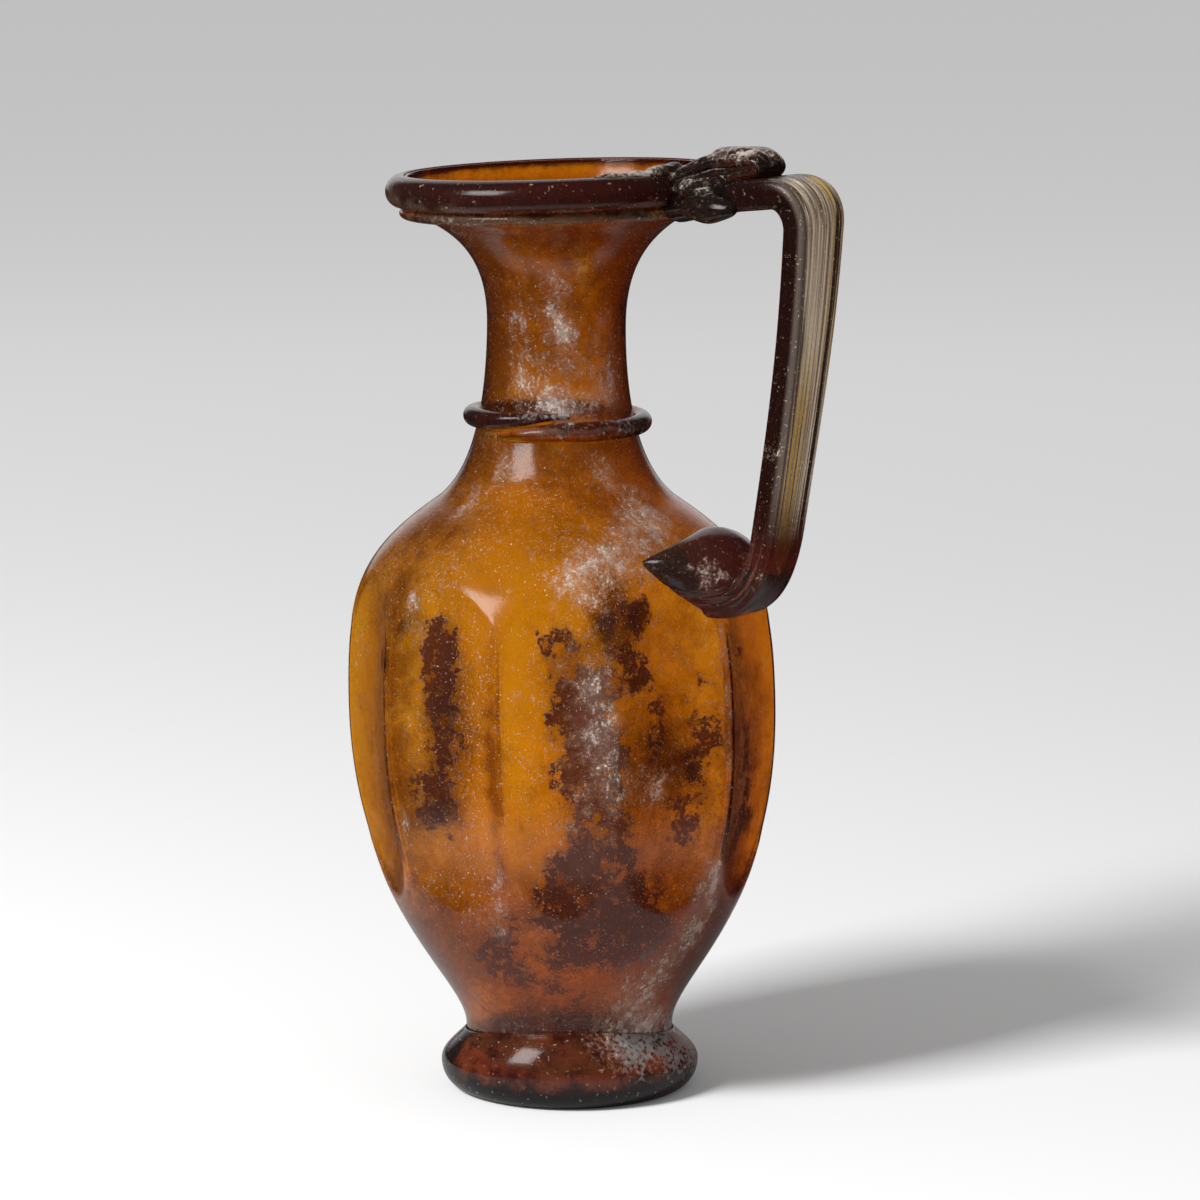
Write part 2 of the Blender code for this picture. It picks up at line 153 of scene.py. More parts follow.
# Thumb rest
THUMB_HEIGHT = 0.0068
THUMB_THICKNESS = 0.0048
THUMB_REST_WIDTH = 0.0110
THUMB_ROOT_WIDTH = 0.0150
THUMB_REACH = 0.0215
THUMB_RETURN = 0.0190
THUMB_DROOP = 0.0085
THUMB_SINK = 0.0020
THUMB_ROOT_HEADING = math.radians(80.0)
THUMB_TOP_HEADING = math.radians(90.0)
THUMB_END_HEADING = math.radians(266.0)
RUMPLE_DEPTH = 0.00026
THUMB_PLACE = 3.1

SMEAR_SIZE, SMEAR_TIP = 0.0040, 0.0010
SMEAR_START, SMEAR_END = math.radians(-4.0), math.radians(-38.0)

# Lean away from the handle, and the mouth tipped up towards a bearing beside it
LEAN = 0.0037
MOUTH_TILT = math.radians(1.99)
MOUTH_TILT_BEARING = math.radians(38.0)

# Fineness of the meshes
COLUMNS = 360
OUTER_STEPS = (14, 60, 56, 30, 20, 14)
INNER_STEPS = (8, 36, 34, 20, 14, 8)
LIP_ROWS = 6
FOOT_DISH_ROWS = 24
FOOT_STEPS = (20, 18)
TRAIL_FACETS = 28
STRAP_STEPS = (16, 18, 44, 24)
STRAP_FACETS = 40
PAD_ROWS = 40
PAD_FACETS = 40
THUMB_STEPS = (16, 18, 14)
THUMB_FACETS = 36
VOXEL = 0.0004
SOFTEN_ROUNDS = 4
MELT_ROUNDS = 40

# Weathering blotches, and a few blotches of painted shade and painted highlights marked where they stand: bearing to
# the right of the camera in degrees, height, half angle, half height, strength
FILM_AND_SHADE = (
    (-36, 0.113, 7, 0.010, 0.68), (-37.5, 0.095, 10, 0.014, 0.74), (-39, 0.076, 9, 0.012, 0.66),
    # (-76, 0.184) and (76, 0.184): painted shade on the neck's two edges as seen from the camera.
    (-76, 0.184, 15, 0.026, 0.58), (76, 0.184, 14, 0.026, 0.46),
    (8, 0.104, 9, 0.009, 0.58), (17, 0.111, 7, 0.007, 0.55), (-59, 0.107, 3, 0.016, 0.6),
    (1, 0.110, 8, 0.009, 0.7), (4, 0.0966, 9, 0.009, 0.75), (10, 0.088, 10, 0.010, 0.75),
    (8, 0.078, 10, 0.007, 0.75), (10, 0.0664, 12, 0.011, 0.85), (16.5, 0.054, 13, 0.009, 0.9),
    (-2, 0.0536, 10, 0.007, 0.75), (-14, 0.050, 8, 0.006, 0.5), (23, 0.1203, 7, 0.005, 0.95),
    (14, 0.117, 6, 0.006, 0.6), (22.5, 0.1055, 5, 0.006, 0.65), (27, 0.089, 4, 0.014, 0.6),
    (44, 0.092, 7, 0.020, 0.55), (38, 0.072, 9, 0.012, 0.5), (64, 0.095, 9, 0.026, 0.5),
    (70, 0.070, 10, 0.014, 0.6), (20, 0.044, 22, 0.010, 0.8), (-18, 0.037, 34, 0.010, 0.62),
    (110, 0.09, 12, 0.02, 0.7), (150, 0.07, 16, 0.014, 0.8), (165, 0.105, 9, 0.014, 0.7),
    (214, 0.085, 8, 0.024, 0.8), (228, 0.06, 12, 0.012, 0.7), (232, 0.11, 6, 0.012, 0.5),
)
HAZE_AND_SHADE = (
    (0, 0.184, 900, 0.026, 0.48), (0, 0.034, 900, 0.020, 0.68), (60, 0.08, 34, 0.05, 0.6),
    (18, 0.078, 26, 0.045, 0.62), (-37, 0.095, 14, 0.035, 0.45), (160, 0.09, 30, 0.05, 0.4),
    # (-75, 0.180) and (78, 0.180): painted shade on the neck's two edges as seen from the camera.
    (-75, 0.180, 34, 0.030, 0.95), (78, 0.180, 34, 0.030, 0.9), (0, 0.1525, 900, 0.006, 0.5),
    (-60, 0.136, 26, 0.012, 0.55), (30, 0.14, 40, 0.014, 0.45), (0, 0.207, 900, 0.010, 0.50),
    # (-51, 0.090) here and (-18.5, 0.086) on the next line: narrow painted shade along two ridges.
    (-52, 0.118, 9, 0.012, 0.5), (-51, 0.090, 5, 0.030, 0.5), (-55, 0.078, 38, 0.030, 0.34),
    (-18.5, 0.086, 2.5, 0.026, 0.6),
)
CRUST_AND_SHEEN = (
    (9, 0.104, 6, 0.010, 0.65), (11.5, 0.0925, 6, 0.011, 0.75), (17, 0.080, 8, 0.007, 0.6),
    (27, 0.079, 5, 0.005, 0.7), (50.5, 0.0556, 5, 0.007, 0.8), (49, 0.0456, 8, 0.008, 0.9),
    (40, 0.0354, 16, 0.008, 0.75), (34, 0.0241, 25, 0.008, 0.75), (40, 0.0143, 28, 0.008, 1.0), (78, 0.0110, 22, 0.008, 0.85),
    (7, 0.1283, 9, 0.006, 0.65), (18, 0.1322, 11, 0.006, 0.75), (35, 0.1346, 11, 0.006, 0.7),
    (47, 0.1435, 12, 0.007, 0.65), (28, 0.1507, 16, 0.006, 0.6), (38, 0.140, 14, 0.007, 0.6),
    (-19, 0.0587, 2, 0.004, 0.8), (-22, 0.046, 4, 0.005, 0.7), (-47, 0.122, 3, 0.004, 0.7),
    (-44, 0.1153, 2, 0.004, 0.6), (-37, 0.1504, 6, 0.005, 0.75), (-50, 0.1433, 6, 0.006, 0.75),
    (-1, 0.188, 12, 0.010, 0.8), (9, 0.178, 12, 0.010, 0.8), (3, 0.1645, 24, 0.004, 0.9),
    (46, 0.172, 20, 0.014, 0.8), (-39, 0.031, 10, 0.008, 0.3), (120, 0.05, 12, 0.012, 0.9),
    # (50.5, 0.095): a thin pale line along the ridge at that bearing, a painted highlight.
    (50.5, 0.095, 1.3, 0.034, 0.7), (5, 0.075, 8, 0.030, 0.3), (-30, 0.175, 18, 0.012, 0.55),
    (180, 0.125, 14, 0.010, 0.6), (215, 0.100, 3, 0.014, 0.9), (260, 0.04, 10, 0.010, 0.7),
    (140, 0.18, 14, 0.010, 0.6), (-50, 0.2065, 22, 0.006, 0.5), (50, 0.2065, 22, 0.006, 0.5),
    # (-50.5, 0.068): a thin pale line low on the ridge at that bearing, a painted highlight.
    (-50.5, 0.068, 0.8, 0.014, 0.8),
)
DARK_FILMED_AND_SHADED = (
    (0, 0.2165, 115, 0.0080, 0.80), (180, 0.2196, 100, 0.0022, 0.9), (60, 0.006, 40, 0.010, 0.5),
    # (0, 0.0): painted shade, a near-black lower band round the foot; (-84, 0.010): painted shade on the foot's left
    # side.
    (0, 0.1630, 900, 0.0035, 0.95), (0, 0.0, 900, 0.0064, 1.0), (-84, 0.010, 28, 0.009, 0.95),
)
PAD_CRUST = (
    (41, 0.1290, 6, 0.004, 0.65), (27, 0.1315, 4, 0.003, 0.5), (50, 0.1300, 3, 0.006, 0.3),
    (45.9, 0.1580, 0.7, 0.0026, 0.9),
)
# Pale crust on the thumb rest, partly painted sheen standing for the grey reflection on the tongue's top, above all
# (50, 0.2250).
THUMB_CRUST_AND_SHEEN = (
    (28, 0.220, 14, 0.003, 0.8), (38, 0.2165, 8, 0.0030, 0.4), (50, 0.2250, 9, 0.004, 0.68),
)

Station = namedtuple("Station", "across up heading before after")


def smooth(value):
    value = np.clip(value, 0.0, 1.0)
    return value * value * (3 - 2 * value)


def mix(first, second, share):
    return first + (second - first) * share


def curve(stations, steps):
    """Rows (across, up, place) along cubic arcs; place 1.5 is halfway from station 1 to station 2."""
    rows = [np.array([[stations[0].across, stations[0].up, 0.0]])]
    for index, (a, b, count) in enumerate(zip(stations, stations[1:], steps)):
        t = np.arange(1, count + 1)[:, None] / count
        start = np.array([a.across, a.up])
        end = np.array([b.across, b.up])
        leave = start + a.after * np.array([math.sin(a.heading), math.cos(a.heading)])
        arrive = end - b.before * np.array([math.sin(b.heading), math.cos(b.heading)])
        points = (1 - t) ** 3 * start + 3 * t * (1 - t) ** 2 * leave + 3 * t * t * (1 - t) * arrive + t ** 3 * end
        rows.append(np.hstack([points, index + t]))
    return np.vstack(rows)


def normals(points):
    """The side to the right of travel at each row of an open line: outwards on a rising profile."""
    before = points[np.maximum(np.arange(len(points)) - 1, 0)]
    after = points[np.minimum(np.arange(len(points)) + 1, len(points) - 1)]
    across = np.column_stack([after[:, 1] - before[:, 1], before[:, 0] - after[:, 0]])
    return across / np.linalg.norm(across, axis=1, keepdims=True)


BOTTOM_Z = FOOT_FLOOR + SEAT_GAP
WAIST_Z = BOTTOM_Z + WAIST_RISE
BELLY_Z = WAIST_Z + BELLY_RISE
SHOULDER_Z = BELLY_Z + SHOULDER_RISE
NECK_Z = SHOULDER_Z + NECK_RISE
FLARE_Z = NECK_Z + FLARE_RISE
LIP_Z = FLARE_Z + LIP_RISE


def blown(radius, height, slope, pulls, rise_below, rise_above):
    return Station(radius, height, slope, pulls[0] * rise_below, pulls[1] * rise_above)


def vessel_stations():
    """The blown outline from the middle of the bottom to the lip."""
    return (
        Station(0.0, BOTTOM_Z, math.pi / 2, 0.0, BASE_FLAT_RADIUS),
        blown(WAIST_RADIUS, WAIST_Z, 0.0, WAIST_PULLS, WAIST_RISE, BELLY_RISE),
        blown(BELLY_RADIUS, BELLY_Z, 0.0, BELLY_PULLS, BELLY_RISE, SHOULDER_RISE),
        blown(SHOULDER_RADIUS, SHOULDER_Z, SHOULDER_SLOPE, SHOULDER_PULLS, SHOULDER_RISE, NECK_RISE),
        blown(NECK_RADIUS, NECK_Z, 0.0, NECK_PULLS, NECK_RISE, FLARE_RISE),
        blown(FLARE_RADIUS, FLARE_Z, FLARE_SLOPE, FLARE_PULLS, FLARE_RISE, LIP_RISE),
        blown(LIP_RADIUS, LIP_Z, LIP_SLOPE, LIP_PULLS, LIP_RISE, 0.0),
    )


OUTLINE = curve(vessel_stations(), OUTER_STEPS)


def skin_radius(height):
    """The vessel's outer radius at a height above its waist."""
    above_waist = OUTLINE[OUTER_STEPS[0]:]
    return np.interp(height, above_waist[:, 1], above_waist[:, 0])


def slump(points):
    """The lean of the whole jug and the tip of its mouth, on an array of points."""
    x, y, z = np.moveaxis(points, -1, 0)
    towards = x * math.cos(MOUTH_TILT_BEARING) + y * math.sin(MOUTH_TILT_BEARING)
    tip = math.tan(MOUTH_TILT) * towards * smooth((z - NECK_Z) / (LIP_Z - NECK_Z))
    return np.stack([x - LEAN * smooth(z / (SHOULDER_Z + NECK_RISE / 2)), y, z + tip], axis=-1)


def polar(radius, angle, height):
    radius, angle, height = np.broadcast_arrays(radius, angle, height)
    return np.stack([radius * np.cos(angle), radius * np.sin(angle), height], axis=-1)


def turns(count):
    return 2 * math.pi * np.arange(count) / count


def even_angle(angle):
    """The angle at which an even jug would have what this one has at `angle`: undoes the ridges' drift."""
    pitch = 2 * math.pi / FLUTES
    even = FLUTE_TURN + pitch * np.arange(FLUTES + 1)
    drift = np.radians(RIDGE_DRIFT_DEGREES + RIDGE_DRIFT_DEGREES[:1])
    wrapped = FLUTE_TURN + (angle - FLUTE_TURN - drift[0]) % (2 * math.pi)
    return np.interp(wrapped, even + drift - drift[0], even)


def flute_depth(angle, height, rounding=RIDGE_ROUNDING):
    """How far a point lies pressed in: round-ended hollows that meet in narrow ridges round the belly."""
    pitch = 2 * math.pi / FLUTES
    aside = np.abs((even_angle(angle) - FLUTE_TURN) % pitch - pitch / 2) * BELLY_RADIUS
    half = pitch / 2 * BELLY_RADIUS
    low, high = BELLY_Z - FLUTE_DROP + half, BELLY_Z + FLUTE_RISE - half
    beyond = np.maximum(np.maximum(low - height, height - high), 0.0)
    hollow = 1 - (aside ** 2 + beyond ** 2) / half ** 2
    return FLUTE_DEPTH * (hollow + np.sqrt(hollow ** 2 + rounding ** 2)) / 2


def wobble(angle, height):
    """Slow unevenness of hand-blown glass."""
    return (
        np.sin(2 * angle + 31 * height + 0.4)
        + 0.7 * np.sin(3 * angle - 54 * height + 2.1)
        + 0.5 * np.sin(5 * angle + 77 * height + 4.0)
    )


WOBBLE_DEPTH = 0.00014


def skin_rows(steps, inset, rounding=RIDGE_ROUNDING):
    """One row per outline point, moved inwards by inset(place), with the flutes pressed in."""
    outline = curve(vessel_stations(), steps)
    normal = normals(outline)
    angle = turns(COLUMNS)[None, :]
    height = outline[:, 1:2]
    drift = 1 - WALL_DRIFT * np.maximum(np.cos(angle - THIN_BEARING), 0.0) ** 2
    depth = flute_depth(angle, height, rounding) + inset(outline[:, 2:3]) * drift
    depth = depth + WOBBLE_DEPTH * wobble(angle, height) * smooth(outline[:, 2:3] - 0.3)
    return polar(outline[:, 0:1] - normal[:, 0:1] * depth, angle, height - normal[:, 1:2] * depth)


def wall_at(place):
    """Thick at the bottom and the neck, thin where the belly was blown out furthest."""
    return np.interp(place, np.arange(len(WALLS)), WALLS)


def add_skin(bm, rows, closed=False, poles=True):
    """Faces through rows of points that each close on themselves; poles close the two ends."""
    loops = [[bm.verts.new(point) for point in row] for row in rows]
    if poles and not closed:
        loops.insert(0, [bm.verts.new(rows[0].mean(axis=0))])
        loops.append([bm.verts.new(rows[-1].mean(axis=0))])
    pairs = list(zip(loops, loops[1:]))
    if closed:
        pairs.append((loops[-1], loops[0]))
    for low, high in pairs:
        for i in range(max(len(low), len(high))):
            near = [low[i % len(low)], low[(i + 1) % len(low)]]
            far = [high[(i + 1) % len(high)], high[i % len(high)]]
            bm.faces.new(list(dict.fromkeys(near + far)))


def mesh_of(name, shells, closed=False):
    """A mesh of one or more closed skins."""
    mesh = bpy.data.meshes.new(name)
    bm = bmesh.new()
    for rows in shells:
        add_skin(bm, rows, closed)
    bmesh.ops.recalc_face_normals(bm, faces=bm.faces)
    bm.to_mesh(mesh)
    bm.free()
    return mesh


def piece_of(name, mesh, material):
    mesh.shade_smooth()
    mesh.materials.append(material)
    piece = bpy.data.objects.new(name, mesh)
    bpy.context.scene.collection.objects.link(piece)
    return piece


def places(mesh):
    values = np.empty(3 * len(mesh.vertices), np.float32)
    mesh.vertices.foreach_get("co", values)
    return values.reshape(-1, 3).astype(float)


def set_places(mesh, points):
    mesh.vertices.foreach_set("co", points.astype(np.float32).ravel())
    mesh.update()


def write_values(mesh, name, values):
    attribute = mesh.attributes.new(name, "FLOAT", "POINT")
    attribute.data.foreach_set("value", np.asarray(values, np.float32))


def fused(name, shells, voxel=VOXEL, rounds=SOFTEN_ROUNDS):
    """One skin round overlapping closed shells, softened where they meet."""
    rough = bpy.data.objects.new(name + "_rough", mesh_of(name + "_rough", shells))
    bpy.context.scene.collection.objects.link(rough)
    remesh = rough.modifiers.new("fuse", "REMESH")
    remesh.mode = "VOXEL"
    remesh.voxel_size = voxel
    soften = rough.modifiers.new("soften", "SMOOTH")
    soften.factor = 0.5
    soften.iterations = rounds
    graph = bpy.context.evaluated_depsgraph_get()
    mesh = bpy.data.meshes.new_from_object(rough.evaluated_get(graph))
    mesh.name = name
    bpy.data.objects.remove(rough)
    return mesh


def blotch_cover(points, blotches):
    """0 to 1 at each point: how strongly the listed blotches cover it."""
    bearing = np.degrees(np.arctan2(points[:, 1], points[:, 0]) - VIEW_BEARING)
    bare = np.ones(len(points))
    for at, height, half_angle, half_height, strength in blotches:
        aside = ((bearing - at + 180) % 360 - 180) / half_angle
        above = (points[:, 2] - height) / half_height
        bare *= 1 - strength * np.exp(-aside ** 2 - above ** 2)
    return 1 - bare


def vessel_mesh():
    """Outer skin up to the lip, over the rounded lip, and down the inner skin."""
    outer = skin_rows(OUTER_STEPS, lambda place: 0.0 * place)
    inner = skin_rows(INNER_STEPS, wall_at, INNER_RIDGE_ROUNDING)
    turn = math.pi * np.arange(1, LIP_ROWS + 1)[:, None] / (LIP_ROWS + 1)
    share = (1 - np.cos(turn)) / 2
    lip = outer[-1][None] * (1 - share[..., None]) + inner[-1][None] * share[..., None]
    lip[..., 2] += LIP_WALL / 2 * np.sin(turn)
    rows = np.concatenate([outer[1:], lip, inner[:0:-1]])
    mesh = mesh_of("vessel", [rows])
    inside = np.repeat(np.arange(len(rows)) >= len(outer) - 1 + LIP_ROWS // 2, COLUMNS)
    points = places(mesh)
    write_values(mesh, "inside", np.concatenate([inside[:len(points) - 2], [0, 1]]))
    for name, blotches in (("film_and_shade", FILM_AND_SHADE), ("haze_and_shade", HAZE_AND_SHADE), ("crust_and_sheen", CRUST_AND_SHEEN)):
        write_values(mesh, name, blotch_cover(points, blotches))
    set_places(mesh, slump(points))
    return mesh


def foot_profile(lip_height):
    """Up the dish that the vessel sits in, over the lip and down the outside to the rest."""
    seat = OUTLINE[:, :2] + normals(OUTLINE) * SEAT_GAP
    lip_place = np.interp(lip_height, OUTLINE[:, 1], OUTLINE[:, 2])
    place = lip_place * np.arange(1, FOOT_DISH_ROWS + 1) / FOOT_DISH_ROWS
    dish = np.column_stack([np.interp(place, OUTLINE[:, 2], side) for side in seat.T])
    lip_r, lip_z = dish[-1]
    drop = lip_z - FOOT_BULGE_HEIGHT
    tuck = FOOT_RADIUS - FOOT_REST_RADIUS
    outside = curve(
        (
            Station(lip_r, lip_z, FOOT_TOP_HEADING, 0.0, 0.50 * drop),
            Station(FOOT_RADIUS, FOOT_BULGE_HEIGHT, math.pi, 0.32 * drop, 0.55 * FOOT_BULGE_HEIGHT),
            Station(FOOT_REST_RADIUS, 0.0, FOOT_REST_HEADING, 0.55 * tuck, 0.0),
        ),
        FOOT_STEPS,
    )
    return np.vstack([dish, outside[:, :2]])


def foot_mesh():
    """A thick pad pressed on by hand: its lip climbs the vessel on the side that faces the camera."""
    angle = turns(COLUMNS // 2)
    aside = (angle - VIEW_BEARING + math.pi) % (2 * math.pi) - math.pi
    climb = mix(-FOOT_LIP_DROP, FOOT_LIP_CLIMB, np.exp(-(aside / FOOT_CLIMB_ANGLE) ** 2))
    profiles = np.stack([foot_profile(WAIST_Z + lift) for lift in climb], axis=1)
    mesh = mesh_of("foot_pad", [polar(profiles[..., 0], angle[None, :], profiles[..., 1])])
    write_values(mesh, "ruddy", np.ones(len(mesh.vertices)))
    dull(mesh)
    return mesh


def trail_section(height, width, tall, bite):
    """(radius, height) of an oval strand, flattened where it lies on the vessel."""
    turn = turns(TRAIL_FACETS)
    middle = skin_radius(height) + SEAT_GAP + width / 2 - bite
    up = height + tall / 2 * np.sin(turn)
    out = np.maximum(middle + width / 2 * np.cos(turn), skin_radius(up) - SEAT_GAP / 3)
    return out, up


RIM_Z = LIP_Z - RIM_DROP
COLLAR_Z = RIM_Z - (RIM_HEIGHT + COLLAR_HEIGHT) / 2 + SEAT_GAP
RIM_OUTER = skin_radius(RIM_Z) + SEAT_GAP + RIM_WIDTH - RIM_BITE


def dull(mesh):
    """Writes the film of a piece of thick glass, then slumps it; on the foot much of that film is painted shade."""
    points = places(mesh)
    write_values(mesh, "film_and_shade", blotch_cover(points, DARK_FILMED_AND_SHADED))
    write_values(mesh, "crust_and_sheen", blotch_cover(points, CRUST_AND_SHEEN))
    set_places(mesh, slump(points))


def ring_mesh(name, section):
    """A strand closed on itself round the vessel."""
    out, up = section
    angle = turns(COLUMNS)[:, None]
    mesh = mesh_of(name, [polar(out[None, :], angle, up[None, :])], closed=True)
    dull(mesh)
    return mesh


def neck_trail_mesh():
    """A strand laid once round the neck; its thinning tail lies on top of its own thin start."""
    floor = NECK_Z - NECK_TRAIL_DROP
    step = 2 * math.pi / COLUMNS
    count = round((2 * math.pi + NECK_TRAIL_LAP) / step)

    def start_size(gone):
        return mix(NECK_TRAIL_TIP, NECK_TRAIL_SIZE, smooth(gone / NECK_TRAIL_LAP))

    rows = []
    for i in range(count + 1):
        gone = i * step
        size = min(start_size(gone), start_size(count * step - gone))
        climb = smooth((gone - NECK_TRAIL_LAP) / (2 * math.pi - NECK_TRAIL_LAP))
        under = climb * (start_size(gone - 2 * math.pi) + NECK_TRAIL_LAP_GAP)
        bite = NECK_TRAIL_BITE * size / NECK_TRAIL_SIZE
        out, up = trail_section(floor + under + size / 2, size, size, bite)
        rows.append(polar(out, NECK_TRAIL_START + gone, up))
    mesh = mesh_of("neck_trail", [np.array(rows)])
    dull(mesh)
    return mesh


def swept(path, section):
    """Rows of section(place), points (sideways, outwards), laid across the path."""
    rows = []
    for (across, up, place), normal in zip(path, normals(path)):
        sideways, outwards = section(place)
        rows.append(np.column_stack([across - normal[0] * outwards, sideways, up - normal[1] * outwards]))
    return np.array(rows)


PAD_Z = SHOULDER_Z - PAD_DROP
TOP_Z = RIM_Z - HANDLE_LIFT
STRAP_X = RIM_OUTER + HANDLE_REACH
ELBOW_X = skin_radius(PAD_Z) + ELBOW_REACH


def strap_path():
    """From inside the rim trail out to the bend, down the leg, round the elbow and into the pad."""
    start_x = RIM_OUTER - CLASP_BITE
    leg = TOP_Z - BEND_RADIUS - PAD_Z - ELBOW_RISE
    run = STRAP_X - BEND_RADIUS - start_x
    return curve(
        (
            Station(start_x, RIM_Z - CLASP_DROP, CLASP_HEADING, 0.0, 0.4 * run),
            Station(STRAP_X - BEND_RADIUS, TOP_Z, BEND_HEADING, 0.4 * run, 0.6 * BEND_RADIUS),
            Station(STRAP_X, TOP_Z - BEND_RADIUS, LEG_HEADING, 0.6 * BEND_RADIUS, 0.33 * leg),
            Station(ELBOW_X, PAD_Z + ELBOW_RISE, ELBOW_HEADING, 0.33 * leg, 0.8 * ELBOW_RISE),
            Station(skin_radius(PAD_Z), PAD_Z - ELBOW_DROP, SEAT_HEADING, 0.75 * ELBOW_REACH, 0.0),
        ),
        STRAP_STEPS,
    )


def strap_size(place):
    """Half the strap's width and thickness: a thick clasp at the rim, narrowing down the leg."""
    clasp = 1 - smooth(place / 0.8)
    leg = smooth((place - 1.5) / 1.5)
    elbow = smooth(place - 3.0)
    width = mix(mix(STRAP_WIDTH, STRAP_WAIST_WIDTH, leg), CLASP_WIDTH, clasp)
    width = mix(width, ELBOW_WIDTH, elbow)
    return width / 2, mix(STRAP_THICKNESS, CLASP_THICKNESS, clasp) / 2


def strap_section(place):
    """A flat band with rounded edges."""
    half_width, half_thickness = strap_size(place)
    turn = turns(STRAP_FACETS)
    power = mix(1.0, BOXINESS, smooth(place / 0.9))
    share = np.sign(np.cos(turn)) * np.abs(np.cos(turn)) ** power
    out = np.sign(np.sin(turn)) * np.abs(np.sin(turn)) ** power
    return -(half_width + SHRINKAGE) * share, (half_thickness + SHRINKAGE) * out


def pad_rows():
    """A leaf of glass lying along the shoulder, with its two tips drawn out sideways."""
    rows = []
    for share in np.linspace(-1.0, 1.0, PAD_ROWS + 1):
        radius = mix(PAD_RADIUS, PAD_TIP_RADIUS, abs(share) ** PAD_TAPER_POWER)
        height = PAD_Z + PAD_TIP_LIFT * share ** 2
        middle = skin_radius(height) + PAD_STANDOFF * (1 - share ** 2)
        turn = turns(PAD_FACETS)
        out = middle + radius * np.cos(turn)
        rows.append(polar(out, share * PAD_HALF_ANGLE, height + radius * np.sin(turn)))
    return np.array(rows)


def press_on_vessel(points):
    """Moves what reaches through the vessel's skin out to it."""
    radius = np.hypot(points[:, 0], points[:, 1])
    angle = np.arctan2(points[:, 1], points[:, 0])
    inside = (points[:, 2] > WAIST_Z) & (radius < skin_radius(points[:, 2]))
    radius = np.where(inside, skin_radius(points[:, 2]), radius)
    return polar(radius, angle, points[:, 2])


def along_strap(points):
    """For each point: its place on the strap's path, how far outwards it lies, and its share of the half width."""
    path = strap_path()
    side = -normals(path)
    apart = (points[:, None, 0] - path[None, :, 0]) ** 2 + (points[:, None, 2] - path[None, :, 1]) ** 2
    near = apart.argmin(axis=1)
    place = path[near, 2]
    outwards = ((points[:, [0, 2]] - path[near, :2]) * side[near]).sum(axis=1)
    half_width, half_thickness = strap_size(place)
    return place, outwards / half_thickness, points[:, 1] / half_width, side[near]


def ribbed(points):
    """Raises the ribs that run lengthways on the strap's outer face."""
    place, outwards, share, side = along_strap(points)
    wave = np.cos(2 * math.pi * STRAP_RIBS * (share + 1) / 2)
    wave = wave + 0.5 * np.sin(37.0 * share + 1.3 * np.sin(2.2 * place))
    face = smooth(outwards * 2.0) * smooth((1 - np.abs(share)) * 6) * smooth((3.6 - place) / 0.6)
    lift = RIB_HEIGHT * 0.5 * wave * face
    moved = points.copy()
    moved[:, [0, 2]] += side * lift[:, None]
    swirl = np.sin(9.0 * outwards + 2.0 * np.sin(1.7 * place)) + 0.6 * np.sin(21.0 * outwards + 1.1)
    near_elbow = smooth((place - 2.2) / 0.8) * smooth(np.abs(share) * 3 - 1.6) * smooth((1.6 - np.abs(outwards)) * 2)
    moved[:, 1] += np.sign(share) * SWIRL_DEPTH * swirl * near_elbow
    return moved


def dimpled(points):
    """Presses in the hollow that the tool left where the strap was folded onto the pad."""
    reach = np.linalg.norm(points - DIMPLE_AT, axis=1) / DIMPLE_REACH
    moved = points.copy()
    moved += DIMPLE_PUSH * np.exp(-reach ** 2)[:, None]
    return moved


def handle_mesh():
    """Strap and shoulder pad in one skin, seated on the vessel."""
    shells = [swept(strap_path(), strap_section), pad_rows()]
    mesh = fused("handle", shells)
    points = places(mesh)
    melted = places(fused("melted", shells, rounds=MELT_ROUNDS))
    place = along_strap(points)[0]
    points = mix(points, melted, smooth((place - 2.9) / 0.5)[:, None])
    points = press_on_vessel(points)
    place, outwards, share, side = along_strap(points)
    write_values(mesh, "along", place)
    write_values(mesh, "outwards", outwards)
    write_values(mesh, "sideways", share)
    write_values(mesh, "crust_and_sheen", blotch_cover(points, PAD_CRUST))
    set_places(mesh, slump(dimpled(ribbed(points))))
    return mesh


def thumb_path():
    """From the top of the rim out over the strap, folded down and back in to lie on it."""
    root_x = RIM_OUTER - RIM_WIDTH / 2
    end_x = RIM_OUTER + THUMB_REACH
    low = RIM_Z + STRAP_THICKNESS / 2 - HANDLE_LIFT
    high = low + THUMB_HEIGHT - THUMB_THICKNESS / 2
    fold = (high - low) / 2
    return curve(
        (
            Station(root_x, RIM_Z + RIM_HEIGHT / 2 - THUMB_SINK, THUMB_ROOT_HEADING, 0.0, 0.3 * THUMB_REACH),
            Station(end_x - THUMB_DROOP, high, THUMB_TOP_HEADING, 0.3 * THUMB_REACH, 0.7 * THUMB_DROOP),
            Station(end_x, high - fold, math.pi, 0.7 * fold, 0.8 * fold),
            Station(end_x - THUMB_RETURN, low, THUMB_END_HEADING, 0.8 * THUMB_RETURN, 0.0),
        ),
        THUMB_STEPS,
    )


def thumb_section(place):
    """An oval band, wide where it meets the rim and narrow at the fold."""
    half_width = mix(THUMB_ROOT_WIDTH, THUMB_REST_WIDTH, smooth(place / 1.2)) / 2
    turn = turns(THUMB_FACETS)
    return -half_width * np.cos(turn), THUMB_THICKNESS / 2 * np.sin(turn)


